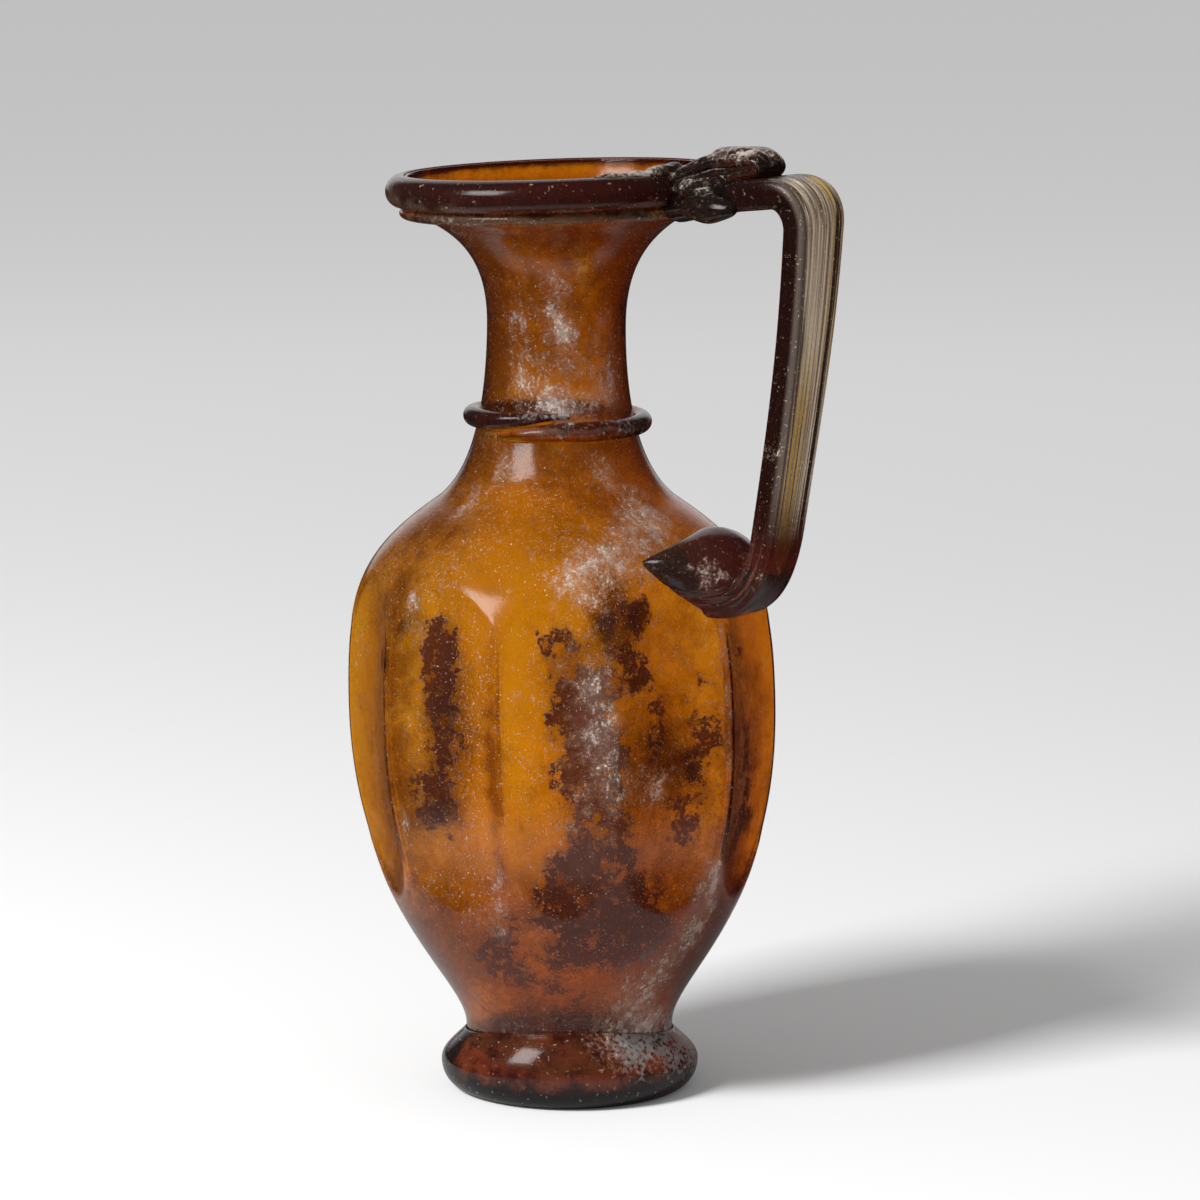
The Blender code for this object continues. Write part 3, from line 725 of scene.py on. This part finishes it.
def smear_rows():
    """A strand that runs out thinly along the top of the rim from the root of the thumb rest."""
    rows = []
    for share in np.linspace(0.0, 1.0, 40):
        half = mix(SMEAR_SIZE, SMEAR_TIP, share ** 0.7) / 2
        turn = turns(THUMB_FACETS)
        lift = 0.3 * half * math.sin(9 * share) * (1 - share)
        out = RIM_OUTER - RIM_WIDTH * mix(0.45, 0.62, share) + 1.5 * half * np.cos(turn)
        up = RIM_Z + RIM_HEIGHT / 2 + lift + half * np.sin(turn)
        rows.append(polar(out, mix(SMEAR_START, SMEAR_END, share), up))
    return np.array(rows)


def lump(bearing, radius, height, halves, turn=0.0):
    """A rounded lump of glass: half sizes outwards, sideways and up."""
    rows = []
    for tilt in np.linspace(-1.4, 1.4, 15):
        around = turns(THUMB_FACETS)
        out = halves[0] * math.cos(tilt) * np.cos(around)
        up = halves[2] * math.sin(tilt)
        side = halves[1] * math.cos(tilt) * np.sin(around)
        lean = math.sin(turn) * side
        rows.append(np.column_stack([radius + out, math.cos(turn) * side, height + up + lean]))
    rows = np.array(rows)
    swing = np.array([[math.cos(bearing), -math.sin(bearing)], [math.sin(bearing), math.cos(bearing)]])
    rows[..., :2] = rows[..., :2] @ swing.T
    return rows


def rumpled(points):
    """Flow lines lengthways on the tongue, bending together towards its end, and lumps all over."""
    x, y, z = points.T
    bend = 260 * (x - RIM_OUTER)
    wave = np.sin(1100 * y + bend) + 0.6 * np.sin(2100 * y - 1.4 * bend + 1.0)
    lumps = np.sin(700 * x + 300 * y) * np.sin(600 * y - 500 * z + 1.0)
    moved = points.copy()
    moved[:, 2] += RUMPLE_DEPTH * (wave * smooth((z - RIM_Z) / RIM_HEIGHT) + 0.6 * lumps)
    return moved


def thumb_mesh():
    """The folded tongue, the claw that grips the rim on the near side, and the smear along the rim."""
    tongue = swept(thumb_path(), thumb_section)
    near = lump(math.radians(-8.0), RIM_OUTER + 0.0102, RIM_Z - 0.0036, (0.0088, 0.0036, 0.0034), 0.2)
    bridge = lump(math.radians(-4.0), RIM_OUTER + 0.0060, RIM_Z + 0.0012, (0.0090, 0.0064, 0.0032), 0.2)
    far = lump(math.radians(9.0), RIM_OUTER + 0.0012, RIM_Z - 0.0010, (0.0034, 0.0048, 0.0044), -0.3)
    mesh = fused("thumb_rest", [tongue, near, bridge, far, smear_rows()], 0.0003, 12)
    points = places(mesh)
    write_values(mesh, "along", np.full(len(points), THUMB_PLACE))
    write_values(mesh, "crust_and_sheen", blotch_cover(points, THUMB_CRUST_AND_SHEEN))
    set_places(mesh, slump(rumpled(points)))
    return mesh


class Nodes:
    """Short calls for building one material's nodes."""

    def __init__(self, name):
        self.material = bpy.data.materials.new(name)
        self.material.use_nodes = True
        self.tree = self.material.node_tree
        self.shader = self.tree.nodes["Principled BSDF"]
        self.output = self.tree.nodes["Material Output"]

    def add(self, kind, **settings):
        node = self.tree.nodes.new(kind)
        for name, value in settings.items():
            setattr(node, name, value)
        return node

    def put(self, socket, value):
        """Links an output to a socket, or sets a plain value on it."""
        if isinstance(value, bpy.types.NodeSocket):
            self.tree.links.new(value, socket)
        else:
            socket.default_value = value

    def maths(self, operation, *values, clamp=False):
        node = self.add("ShaderNodeMath", operation=operation, use_clamp=clamp)
        for socket, value in zip(node.inputs, values):
            self.put(socket, value)
        return node.outputs[0]

    def step(self, value, low, high):
        """0 below low, 1 above high, smooth between."""
        node = self.add("ShaderNodeMapRange", interpolation_type="SMOOTHSTEP")
        for name, given in (("Value", value), ("From Min", low), ("From Max", high)):
            self.put(node.inputs[name], given)
        return node.outputs["Result"]

    def attribute(self, name):
        return self.add("ShaderNodeAttribute", attribute_name=name).outputs["Fac"]

    def here(self, stretch=(1.0, 1.0, 1.0)):
        place = self.add("ShaderNodeTexCoord").outputs["Object"]
        mapping = self.add("ShaderNodeMapping")
        self.put(mapping.inputs["Vector"], place)
        mapping.inputs["Scale"].default_value = stretch
        return mapping.outputs["Vector"]

    def noise(self, where, scale, detail=6.0, roughness=0.6, distortion=0.0):
        node = self.add("ShaderNodeTexNoise")
        self.put(node.inputs["Vector"], where)
        for name, value in (
            ("Scale", scale), ("Detail", detail), ("Roughness", roughness), ("Distortion", distortion),
        ):
            node.inputs[name].default_value = value
        return node.outputs["Fac"]

    def total(self, *parts):
        """Sum of noises, each centred on 0 and given its own weight."""
        level = 0.0
        for value, weight in parts:
            level = self.maths("MULTIPLY_ADD", self.maths("SUBTRACT", value, 0.5), weight, level)
        return level

    def blend(self, share, first, second):
        node = self.add("ShaderNodeMix", data_type="RGBA")
        self.put(node.inputs["Factor"], share)
        self.put(node.inputs["A"], first if not isinstance(first, tuple) else (*first, 1.0))
        self.put(node.inputs["B"], second if not isinstance(second, tuple) else (*second, 1.0))
        return node.outputs["Result"]

    def bump(self, height, strength, distance):
        node = self.add("ShaderNodeBump")
        self.put(node.inputs["Height"], height)
        node.inputs["Strength"].default_value = strength
        node.inputs["Distance"].default_value = distance
        self.put(self.shader.inputs["Normal"], node.outputs["Normal"])

    def glass(self, colour, roughness, transmission=1.0):
        shader = self.shader.inputs
        shader["IOR"].default_value = 1.5
        self.put(shader["Base Color"], colour if not isinstance(colour, tuple) else (*colour, 1.0))
        self.put(shader["Roughness"], roughness)
        self.put(shader["Transmission Weight"], transmission)

    def tint(self, loss):
        """Light lost inside the glass, per metre, for red, green and blue."""
        most = max(loss)
        volume = self.add("ShaderNodeVolumeAbsorption")
        volume.inputs["Color"].default_value = (*(1 - value / most for value in loss), 1.0)
        volume.inputs["Density"].default_value = most
        self.put(self.output.inputs["Volume"], volume.outputs["Volume"])


AMBER_LOSS = (88.0, 530.0, 2400.0)
CLEAR = (1.0, 0.98, 0.95)
# The veil tint below also draws painted shade on the neck's two edges and along two ridges, and the film tint draws
# painted shade on the neck's two edges.
VEIL_AND_SHADE_TINT = (0.72, 0.56, 0.42)
BROWN_TINT = (0.23, 0.15, 0.085)
FILM_AND_SHADE_TINT = (0.050, 0.016, 0.009)
GREYED_FILM = (0.085, 0.046, 0.040)
# The crust colours below also draw painted highlights along two ridges, and the gold one also draws painted sheen on
# the thumb rest.
GREY_CRUST_AND_SHEEN = (0.38, 0.35, 0.35)
GOLD_CRUST_AND_SHEEN = (0.62, 0.52, 0.38)


def amber_glass():
    """Amber glass: a soft veil inside; brown film, dark flakes and pale veined crust outside. Some film and veil is
    painted shade on the neck's two edges, some veil is painted shade along two ridges, and some crust is painted
    highlights along two ridges.
    """
    nodes = Nodes("amber_glass")
    here = nodes.here()
    inside = nodes.attribute("inside")
    outside = nodes.maths("SUBTRACT", 1.0, inside)
    patches = nodes.noise(here, 80.0, 14.0, 0.66)
    flakes = nodes.noise(here, 230.0, 10.0, 0.66)
    fine = nodes.noise(here, 560.0, 8.0, 0.65)
    specks = nodes.noise(here, 1400.0, 4.0, 0.6)
    ragged = nodes.total((patches, 2.4), (flakes, 1.8), (fine, 0.9))
    # The film and haze attributes carry painted shade as well as real film and haze: the neck's two edges, and with
    # haze two narrow lines along ridges.
    soil_and_shade = nodes.maths("MAXIMUM", nodes.attribute("haze_and_shade"), nodes.attribute("film_and_shade"))
    film_and_shade = nodes.step(nodes.maths("ADD", nodes.attribute("film_and_shade"), ragged), 0.54, 0.59)
    flaked = nodes.step(nodes.total((flakes, 1.0), (fine, 0.8)), 0.13, 0.11)
    dots = nodes.maths("MULTIPLY", nodes.step(specks, 0.585, 0.62), nodes.step(soil_and_shade, 0.1, 0.6))
    film_and_shade = nodes.maths("MULTIPLY", film_and_shade, flaked)
    film_and_shade = nodes.maths("MAXIMUM", film_and_shade, nodes.maths("MULTIPLY", dots, 0.75))
    film_and_shade = nodes.maths("MULTIPLY", film_and_shade, outside)
    brown = nodes.step(nodes.maths("MULTIPLY_ADD", ragged, 0.4, soil_and_shade), 0.15, 0.75)
    veil_and_shade = nodes.step(nodes.maths("MULTIPLY_ADD", ragged, 0.35, nodes.attribute("haze_and_shade")), -0.2, 0.8)
    # The crust attribute carries painted highlights along two ridges as well as real crust.
    cover = nodes.maths("ADD", nodes.attribute("crust_and_sheen"), nodes.total((flakes, 2.2), (patches, -1.2)))
    cover = nodes.step(cover, 0.2, 0.9)
    veins = nodes.noise(here, 190.0, 6.0, 0.6)
    veins = nodes.step(nodes.maths("ABSOLUTE", nodes.maths("SUBTRACT", veins, 0.5)), 0.030, 0.004)
    dust = nodes.step(nodes.total((fine, 0.8), (specks, 1.2)), 0.02, 0.12)
    caked = nodes.step(nodes.attribute("crust_and_sheen"), 0.5, 1.0)
    crust_and_sheen = nodes.maths("MULTIPLY_ADD", dust, 0.34, nodes.maths("MULTIPLY_ADD", caked, 0.36, 0.12))
    crust_and_sheen = nodes.maths("MULTIPLY_ADD", veins, 0.32, crust_and_sheen)
    crust_and_sheen = nodes.maths("MULTIPLY", crust_and_sheen, cover)
    streaks = nodes.noise(nodes.here((1.0, 1.0, 0.45)), 430.0, 9.0, 0.68)
    crust_and_sheen = nodes.maths("MULTIPLY", crust_and_sheen, nodes.maths("MULTIPLY_ADD", nodes.step(streaks, 0.44, 0.56), 0.85, 0.30))
    grains = nodes.step(nodes.noise(here, 2100.0, 3.0, 0.5), 0.66, 0.70)
    crust_and_sheen = nodes.maths("MAXIMUM", crust_and_sheen, nodes.maths("MULTIPLY", grains, 0.6))
    crust_and_sheen = nodes.maths("MULTIPLY", crust_and_sheen, outside, clamp=True)
    inner = nodes.blend(veil_and_shade, CLEAR, VEIL_AND_SHADE_TINT)
    shell = nodes.blend(brown, CLEAR, BROWN_TINT)
    greyed = nodes.step(nodes.maths("ADD", nodes.attribute("crust_and_sheen"), nodes.total((flakes, 1.5))), 0.1, 0.6)
    shell = nodes.blend(film_and_shade, shell, nodes.blend(greyed, FILM_AND_SHADE_TINT, GREYED_FILM))
    shell = nodes.blend(crust_and_sheen, shell, nodes.blend(nodes.step(specks, 0.48, 0.62), GREY_CRUST_AND_SHEEN, GOLD_CRUST_AND_SHEEN))
    clear = nodes.maths("MULTIPLY_ADD", film_and_shade, -0.40, 1.0)
    clear = nodes.maths("MULTIPLY_ADD", crust_and_sheen, -0.80, clear, clamp=True)
    rough = nodes.maths("MULTIPLY_ADD", fine, 0.10, 0.09)
    rough = nodes.maths("MULTIPLY_ADD", crust_and_sheen, 0.35, rough)
    nodes.glass(nodes.blend(inside, shell, inner), rough, clear)
    nodes.bump(nodes.maths("MULTIPLY_ADD", crust_and_sheen, 0.8, nodes.maths("MULTIPLY", fine, 0.25)), 0.25, 0.0005)
    nodes.tint(AMBER_LOSS)
    return nodes.material


DARK_LOSS = (30.0, 165.0, 900.0)
DARK_CLEAR = (0.88, 0.74, 0.55)
DARK_FILM = (0.080, 0.024, 0.018)
RUDDY = (0.58, 0.18, 0.07)
MAROON = (0.12, 0.03, 0.025)
# Near-black on the foot: painted shade on its lower band and left side, and some dark film patches elsewhere.
FOOT_FILM_AND_SHADE = (0.014, 0.013, 0.010)
FOOT_CRUST = (0.26, 0.24, 0.23)


def dark_glass():
    """The same glass where it is thick, with a brown film over most of it and pale specks; on the foot the film goes
    near-black, and there its lower band and left side are painted shade.
    """
    nodes = Nodes("dark_glass")
    here = nodes.here()
    patches = nodes.noise(here, 130.0, 12.0, 0.7)
    fine = nodes.noise(here, 900.0, 6.0, 0.6)
    film_and_shade = nodes.step(nodes.maths("ADD", nodes.attribute("film_and_shade"), nodes.total((patches, 1.2))), 0.15, 0.65)
    specks = nodes.step(fine, 0.635, 0.68)
    crust_and_sheen = nodes.maths("ADD", nodes.attribute("crust_and_sheen"), nodes.total((patches, 1.6), (fine, 1.8)))
    crust_and_sheen = nodes.maths("MULTIPLY", nodes.step(crust_and_sheen, 0.3, 1.0), nodes.step(fine, 0.30, 0.55))
    crust_and_sheen = nodes.maths("MAXIMUM", crust_and_sheen, nodes.maths("MULTIPLY", specks, 0.6))
    ruddy = nodes.attribute("ruddy")
    warm = nodes.blend(nodes.step(patches, 0.42, 0.62), RUDDY, MAROON)
    # On the foot the film is near-black: painted shade on its lower band and left side.
    filmed_and_shaded = nodes.blend(ruddy, DARK_FILM, FOOT_FILM_AND_SHADE)
    colour = nodes.blend(film_and_shade, nodes.blend(ruddy, DARK_CLEAR, warm), filmed_and_shaded)
    colour = nodes.blend(crust_and_sheen, colour, nodes.blend(specks, FOOT_CRUST, GOLD_CRUST_AND_SHEEN))
    clear = nodes.maths("MULTIPLY_ADD", film_and_shade, -0.15, 1.0)
    clear = nodes.maths("MULTIPLY_ADD", crust_and_sheen, -0.65, clear)
    clear = nodes.maths("MULTIPLY_ADD", ruddy, -0.10, clear)
    rough = nodes.maths("MULTIPLY_ADD", ruddy, -0.035, 0.18)
    nodes.glass(colour, nodes.maths("MULTIPLY_ADD", crust_and_sheen, 0.4, rough), clear)
    nodes.bump(fine, 0.04, 0.0003)
    nodes.tint(DARK_LOSS)
    return nodes.material


# On the thumb rest this pale colour is partly painted sheen on the tongue's top.
PALE_CRUST_AND_SHEEN = (0.50, 0.46, 0.42)
STRAP_SIDE = (0.036, 0.022, 0.018)
STRAP_GREY = (0.80, 0.66, 0.49)
STRAP_BROWN = (0.22, 0.14, 0.09)
# Painted shade: the darker strip along the near edge of the strap's face.
STRAP_SHADED_EDGE = (0.10, 0.075, 0.06)
STRAP_GOLD = (0.52, 0.32, 0.08)
PAD_BROWN = (0.15, 0.075, 0.058)


def strap_glass():
    """Drawn glass: dark at the sides, streaked grey, brown and gold along its ribbed outer face. The darker strip
    along the face's near edge is painted shade, and the pale crust on the thumb rest is partly painted sheen.
    """
    nodes = Nodes("strap_glass")
    here = nodes.here()
    fine = nodes.noise(here, 1300.0, 6.0, 0.6)
    along, sideways, outwards = (nodes.attribute(name) for name in ("along", "sideways", "outwards"))
    lengthways = nodes.add("ShaderNodeCombineXYZ")
    nodes.put(lengthways.inputs["X"], nodes.maths("MULTIPLY", sideways, 15.0))
    nodes.put(lengthways.inputs["Y"], nodes.maths("MULTIPLY", along, 0.9))
    nodes.put(lengthways.inputs["Z"], outwards)
    streaks = nodes.noise(lengthways.outputs["Vector"], 1.6, 8.0, 0.65)
    bands = nodes.noise(lengthways.outputs["Vector"], 0.5, 3.0, 0.5)
    face = nodes.step(outwards, 0.25, 0.7)
    face = nodes.maths("MULTIPLY", face, nodes.step(along, 3.15, 2.8))
    face = nodes.maths("MULTIPLY", face, nodes.step(along, 0.9, 1.4))
    far_edge = nodes.maths("MULTIPLY", nodes.step(sideways, 0.25, 0.45), nodes.step(along, 2.7, 2.3))
    near_edge = nodes.maths("MULTIPLY", nodes.step(sideways, 0.1, -0.2), nodes.step(along, 2.3, 2.6))
    golden = nodes.maths("MAXIMUM", far_edge, near_edge)
    golden = nodes.maths("MULTIPLY", golden, nodes.step(nodes.total((bands, 1.0), (streaks, 1.0)), -0.06, 0.10))
    pale = nodes.blend(nodes.step(streaks, 0.40, 0.60), STRAP_BROWN, STRAP_GREY)
    pale = nodes.blend(nodes.step(bands, 0.46, 0.40), pale, STRAP_SIDE)
    pale = nodes.blend(golden, pale, STRAP_GOLD)
    # Painted shade: a darker strip along the face's near edge.
    pale = nodes.blend(nodes.step(sideways, -0.78, -0.92), pale, STRAP_SHADED_EDGE)
    specks = nodes.maths("MULTIPLY", nodes.step(fine, 0.61, 0.68), 0.5)
    ragged = nodes.total((nodes.noise(here, 300.0, 8.0, 0.7, 0.5), 2.4), (fine, 1.0))
    # On the thumb rest this crust is partly painted sheen on the tongue's top.
    crust_and_sheen = nodes.step(nodes.maths("ADD", nodes.attribute("crust_and_sheen"), ragged), 0.35, 1.0)
    crust_and_sheen = nodes.maths("MAXIMUM", specks, crust_and_sheen)
    side = nodes.blend(nodes.step(along, 2.9, 3.4), STRAP_SIDE, PAD_BROWN)
    colour = nodes.blend(face, side, pale)
    colour = nodes.blend(crust_and_sheen, colour, nodes.blend(nodes.step(fine, 0.48, 0.60), PALE_CRUST_AND_SHEEN, GOLD_CRUST_AND_SHEEN))
    clear = nodes.maths("MULTIPLY_ADD", face, -0.65, 0.90)
    clear = nodes.maths("MULTIPLY_ADD", crust_and_sheen, -0.5, clear, clamp=True)
    rough = nodes.maths("MULTIPLY_ADD", face, 0.10, 0.12)
    nodes.glass(colour, nodes.maths("MULTIPLY_ADD", crust_and_sheen, 0.3, rough), clear)
    grooves = nodes.maths("MULTIPLY", nodes.maths("MULTIPLY", streaks, 2.0), face)
    nodes.bump(nodes.maths("MULTIPLY_ADD", fine, 0.5, grooves), 0.25, 0.0003)
    nodes.tint(DARK_LOSS)
    return nodes.material


# Studio
FLOOR_REACH = 14.0
KEY_BEARING = VIEW_BEARING - math.radians(50.0)
KEY_ELEVATION = math.radians(37.0)
KEY_DISTANCE = 1.7
KEY_SIZE = (0.50, 0.50)
KEY_POWER = 42.0
SHINE_BEARING = VIEW_BEARING - math.radians(54.0)
SHINE_SIZE = (0.72, 0.66)
SHINE_POWER = 10.0
SHINE_ELEVATION = math.radians(33.0)
# Painted reflection: where the glass mirrors the floor, its near part is dimmed and the rest is dark.
MIRRORED_FROM, MIRRORED_TO = 0.11, 0.22
MIRRORED_DIMNESS = 0.52
AIM = Vector((0.0, 0.0, 0.1))


FLOOR_WHITE = 0.80
# Painted light: the floor glows for camera rays and rays through the glass, more with distance from the jug.
GLOW_NEAR, GLOW_FAR = 0.04, 0.22
# Painted light: the floor under the foot glows for rays seen through the glass, in place of light passing through
# the foot.
GLOW_UNDER = 0.7


def toward_camera():
    return (math.cos(VIEW_BEARING), math.sin(VIEW_BEARING), 0.0)


def floor_material():
    """White paper, with painted light: for camera rays and rays through the glass it glows, paler into the distance
    and brightly under the foot. The glass mirrors only its near part, painted dimmer; further off the floor is
    painted dark in reflections.
    """
    nodes = Nodes("pale_floor")
    distance = nodes.add("ShaderNodeVectorMath", operation="LENGTH")
    nodes.put(distance.inputs[0], nodes.add("ShaderNodeTexCoord").outputs["Object"])
    distance = distance.outputs["Value"]
    path = nodes.add("ShaderNodeLightPath").outputs
    # Painted reflection: for glossy rays the floor is dimmed near the jug and dark beyond.
    mirrored = nodes.maths("SUBTRACT", path["Is Glossy Ray"], path["Is Transmission Ray"], clamp=True)
    unlit = nodes.maths("MAXIMUM", nodes.step(distance, MIRRORED_FROM, MIRRORED_TO), MIRRORED_DIMNESS)
    unlit = nodes.maths("MULTIPLY", unlit, mirrored)
    lit = nodes.maths("SUBTRACT", 1.0, unlit)
    seen = nodes.maths("MAXIMUM", path["Is Camera Ray"], path["Is Transmission Ray"])
    # Painted light: glow for camera rays and rays through the glass, more with distance from the jug.
    glow = nodes.maths("MULTIPLY_ADD", nodes.step(distance, 0.1, 1.8), GLOW_FAR - GLOW_NEAR, GLOW_NEAR)
    # Painted light: a glow under the foot for rays seen through the glass, in place of light passing through the
    # foot.
    under = nodes.maths("MULTIPLY", nodes.step(distance, FOOT_RADIUS, FOOT_REST_RADIUS), path["Is Transmission Ray"])
    glow = nodes.maths("MULTIPLY_ADD", under, GLOW_UNDER, glow)
    shade = nodes.blend(lit, (0.02, 0.02, 0.02), (FLOOR_WHITE, FLOOR_WHITE, FLOOR_WHITE))
    nodes.put(nodes.shader.inputs["Base Color"], shade)
    nodes.put(nodes.shader.inputs["Roughness"], 0.9)
    nodes.put(nodes.shader.inputs["Specular IOR Level"], 0.0)
    nodes.put(nodes.shader.inputs["Emission Color"], (1.0, 1.0, 1.0, 1.0))
    nodes.put(nodes.shader.inputs["Emission Strength"], nodes.maths("MULTIPLY", glow, seen))
    return nodes.material


def studio():
    mesh = bpy.data.meshes.new("floor")
    bm = bmesh.new()
    bmesh.ops.create_circle(bm, cap_ends=True, radius=FLOOR_REACH, segments=96)
    bm.to_mesh(mesh)
    bm.free()
    floor = piece_of("floor", mesh, floor_material())
    area_lamp("key", KEY_POWER, KEY_SIZE, KEY_BEARING, KEY_ELEVATION).visible_glossy = False
    area_lamp("shine", SHINE_POWER, SHINE_SIZE, SHINE_BEARING, SHINE_ELEVATION).visible_diffuse = False
    world()


def area_lamp(name, power, size, bearing, elevation):
    """A soft lamp to the left of the camera; no light of it passes through the glass."""
    lamp = bpy.data.lights.new(name, "AREA")
    lamp.shape = "RECTANGLE"
    lamp.size, lamp.size_y = size
    lamp.energy = power
    holder = bpy.data.objects.new(name, lamp)
    out = Vector((math.cos(bearing), math.sin(bearing), 0.0)) * math.cos(elevation)
    out.z = math.sin(elevation)
    holder.location = AIM + out * KEY_DISTANCE
    holder.rotation_mode = "QUATERNION"
    holder.rotation_quaternion = (-out).to_track_quat("-Z", "Y")
    holder.visible_camera = False
    holder.visible_transmission = False
    bpy.context.scene.collection.objects.link(holder)
    return holder


ROOM_LIGHT = 0.38
ROOM_SEEN = 0.52
ROOM_MIRRORED = 0.03
BACKDROP_MIRRORED = 0.75


class WorldNodes(Nodes):
    """The same calls for the world's nodes."""

    def __init__(self, name):
        self.world = bpy.data.worlds.new(name)
        self.world.use_nodes = True
        self.tree = self.world.node_tree

    def along(self, direction, axis):
        node = self.add("ShaderNodeVectorMath", operation="DOT_PRODUCT")
        self.put(node.inputs[0], direction)
        self.put(node.inputs[1], axis)
        return node.outputs["Value"]

    def pick(self, level, ray, strength):
        """The strength for that kind of ray, and the level so far for the others."""
        return self.maths("MULTIPLY_ADD", ray, self.maths("SUBTRACT", strength, level), level)


def world():
    """Even soft light; glass mirrors a pale backdrop straight behind the jug and a dark room elsewhere."""
    nodes = WorldNodes("studio")
    bpy.context.scene.world = nodes.world
    direction = nodes.add("ShaderNodeTexCoord").outputs["Generated"]
    toward = toward_camera()
    behind = nodes.step(nodes.along(direction, toward), -0.40, -0.65)
    aside = nodes.maths("ABSOLUTE", nodes.along(direction, (-toward[1], toward[0], 0.0)))
    backdrop = nodes.maths("MULTIPLY", behind, nodes.step(aside, 0.50, 0.25))
    mirrored = nodes.maths("MULTIPLY_ADD", backdrop, BACKDROP_MIRRORED - ROOM_MIRRORED, ROOM_MIRRORED)
    path = nodes.add("ShaderNodeLightPath").outputs
    level = nodes.pick(ROOM_LIGHT, path["Is Glossy Ray"], mirrored)
    level = nodes.pick(level, path["Is Transmission Ray"], ROOM_SEEN)
    level = nodes.pick(level, path["Is Camera Ray"], ROOM_SEEN)
    background = nodes.tree.nodes["Background"].inputs
    nodes.put(background["Strength"], level)
    nodes.put(background["Color"], (1.0, 1.0, 1.0, 1.0))


def camera():
    data = bpy.data.cameras.new("camera")
    data.lens = VIEW_LENS
    data.sensor_width = SENSOR
    data.clip_end = 100.0
    holder = bpy.data.objects.new("camera", data)
    toward = Vector((math.cos(VIEW_BEARING), math.sin(VIEW_BEARING), 0.0))
    right = Vector((-toward.y, toward.x, 0.0))
    holder.location = toward * VIEW_DISTANCE + right * VIEW_ASIDE + Vector((0.0, 0.0, VIEW_HEIGHT))
    looking = -toward * math.cos(VIEW_PITCH) - Vector((0.0, 0.0, math.sin(VIEW_PITCH)))
    holder.rotation_mode = "QUATERNION"
    holder.rotation_quaternion = looking.to_track_quat("-Z", "Y")
    bpy.context.scene.collection.objects.link(holder)
    bpy.context.scene.camera = holder


def dress():
    """Makes each piece, in place of the solid of the same name."""
    amber, dark, strap = amber_glass(), dark_glass(), strap_glass()
    rim = trail_section(RIM_Z, RIM_WIDTH, RIM_HEIGHT, RIM_BITE)
    collar = trail_section(COLLAR_Z, COLLAR_WIDTH, COLLAR_HEIGHT, COLLAR_BITE)
    pieces = (
        ("vessel", vessel_mesh(), amber, "amber_glass"),
        ("foot_pad", foot_mesh(), dark, "dark_glass"),
        ("rim_trail", ring_mesh("rim_trail", rim), dark, "dark_glass"),
        ("collar_trail", ring_mesh("collar_trail", collar), dark, "dark_glass"),
        ("neck_trail", neck_trail_mesh(), dark, "dark_glass"),
        ("handle", handle_mesh(), strap, "strap_glass"),
        ("thumb_rest", thumb_mesh(), strap, "strap_glass"),
    )
    for node, mesh, material, slot in pieces:
        piece = piece_of("glass_" + node, mesh, material)
        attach(piece, "root")
        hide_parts(node)


bpy.context.scene.view_settings.view_transform = "Standard"
camera()
studio()
dress()
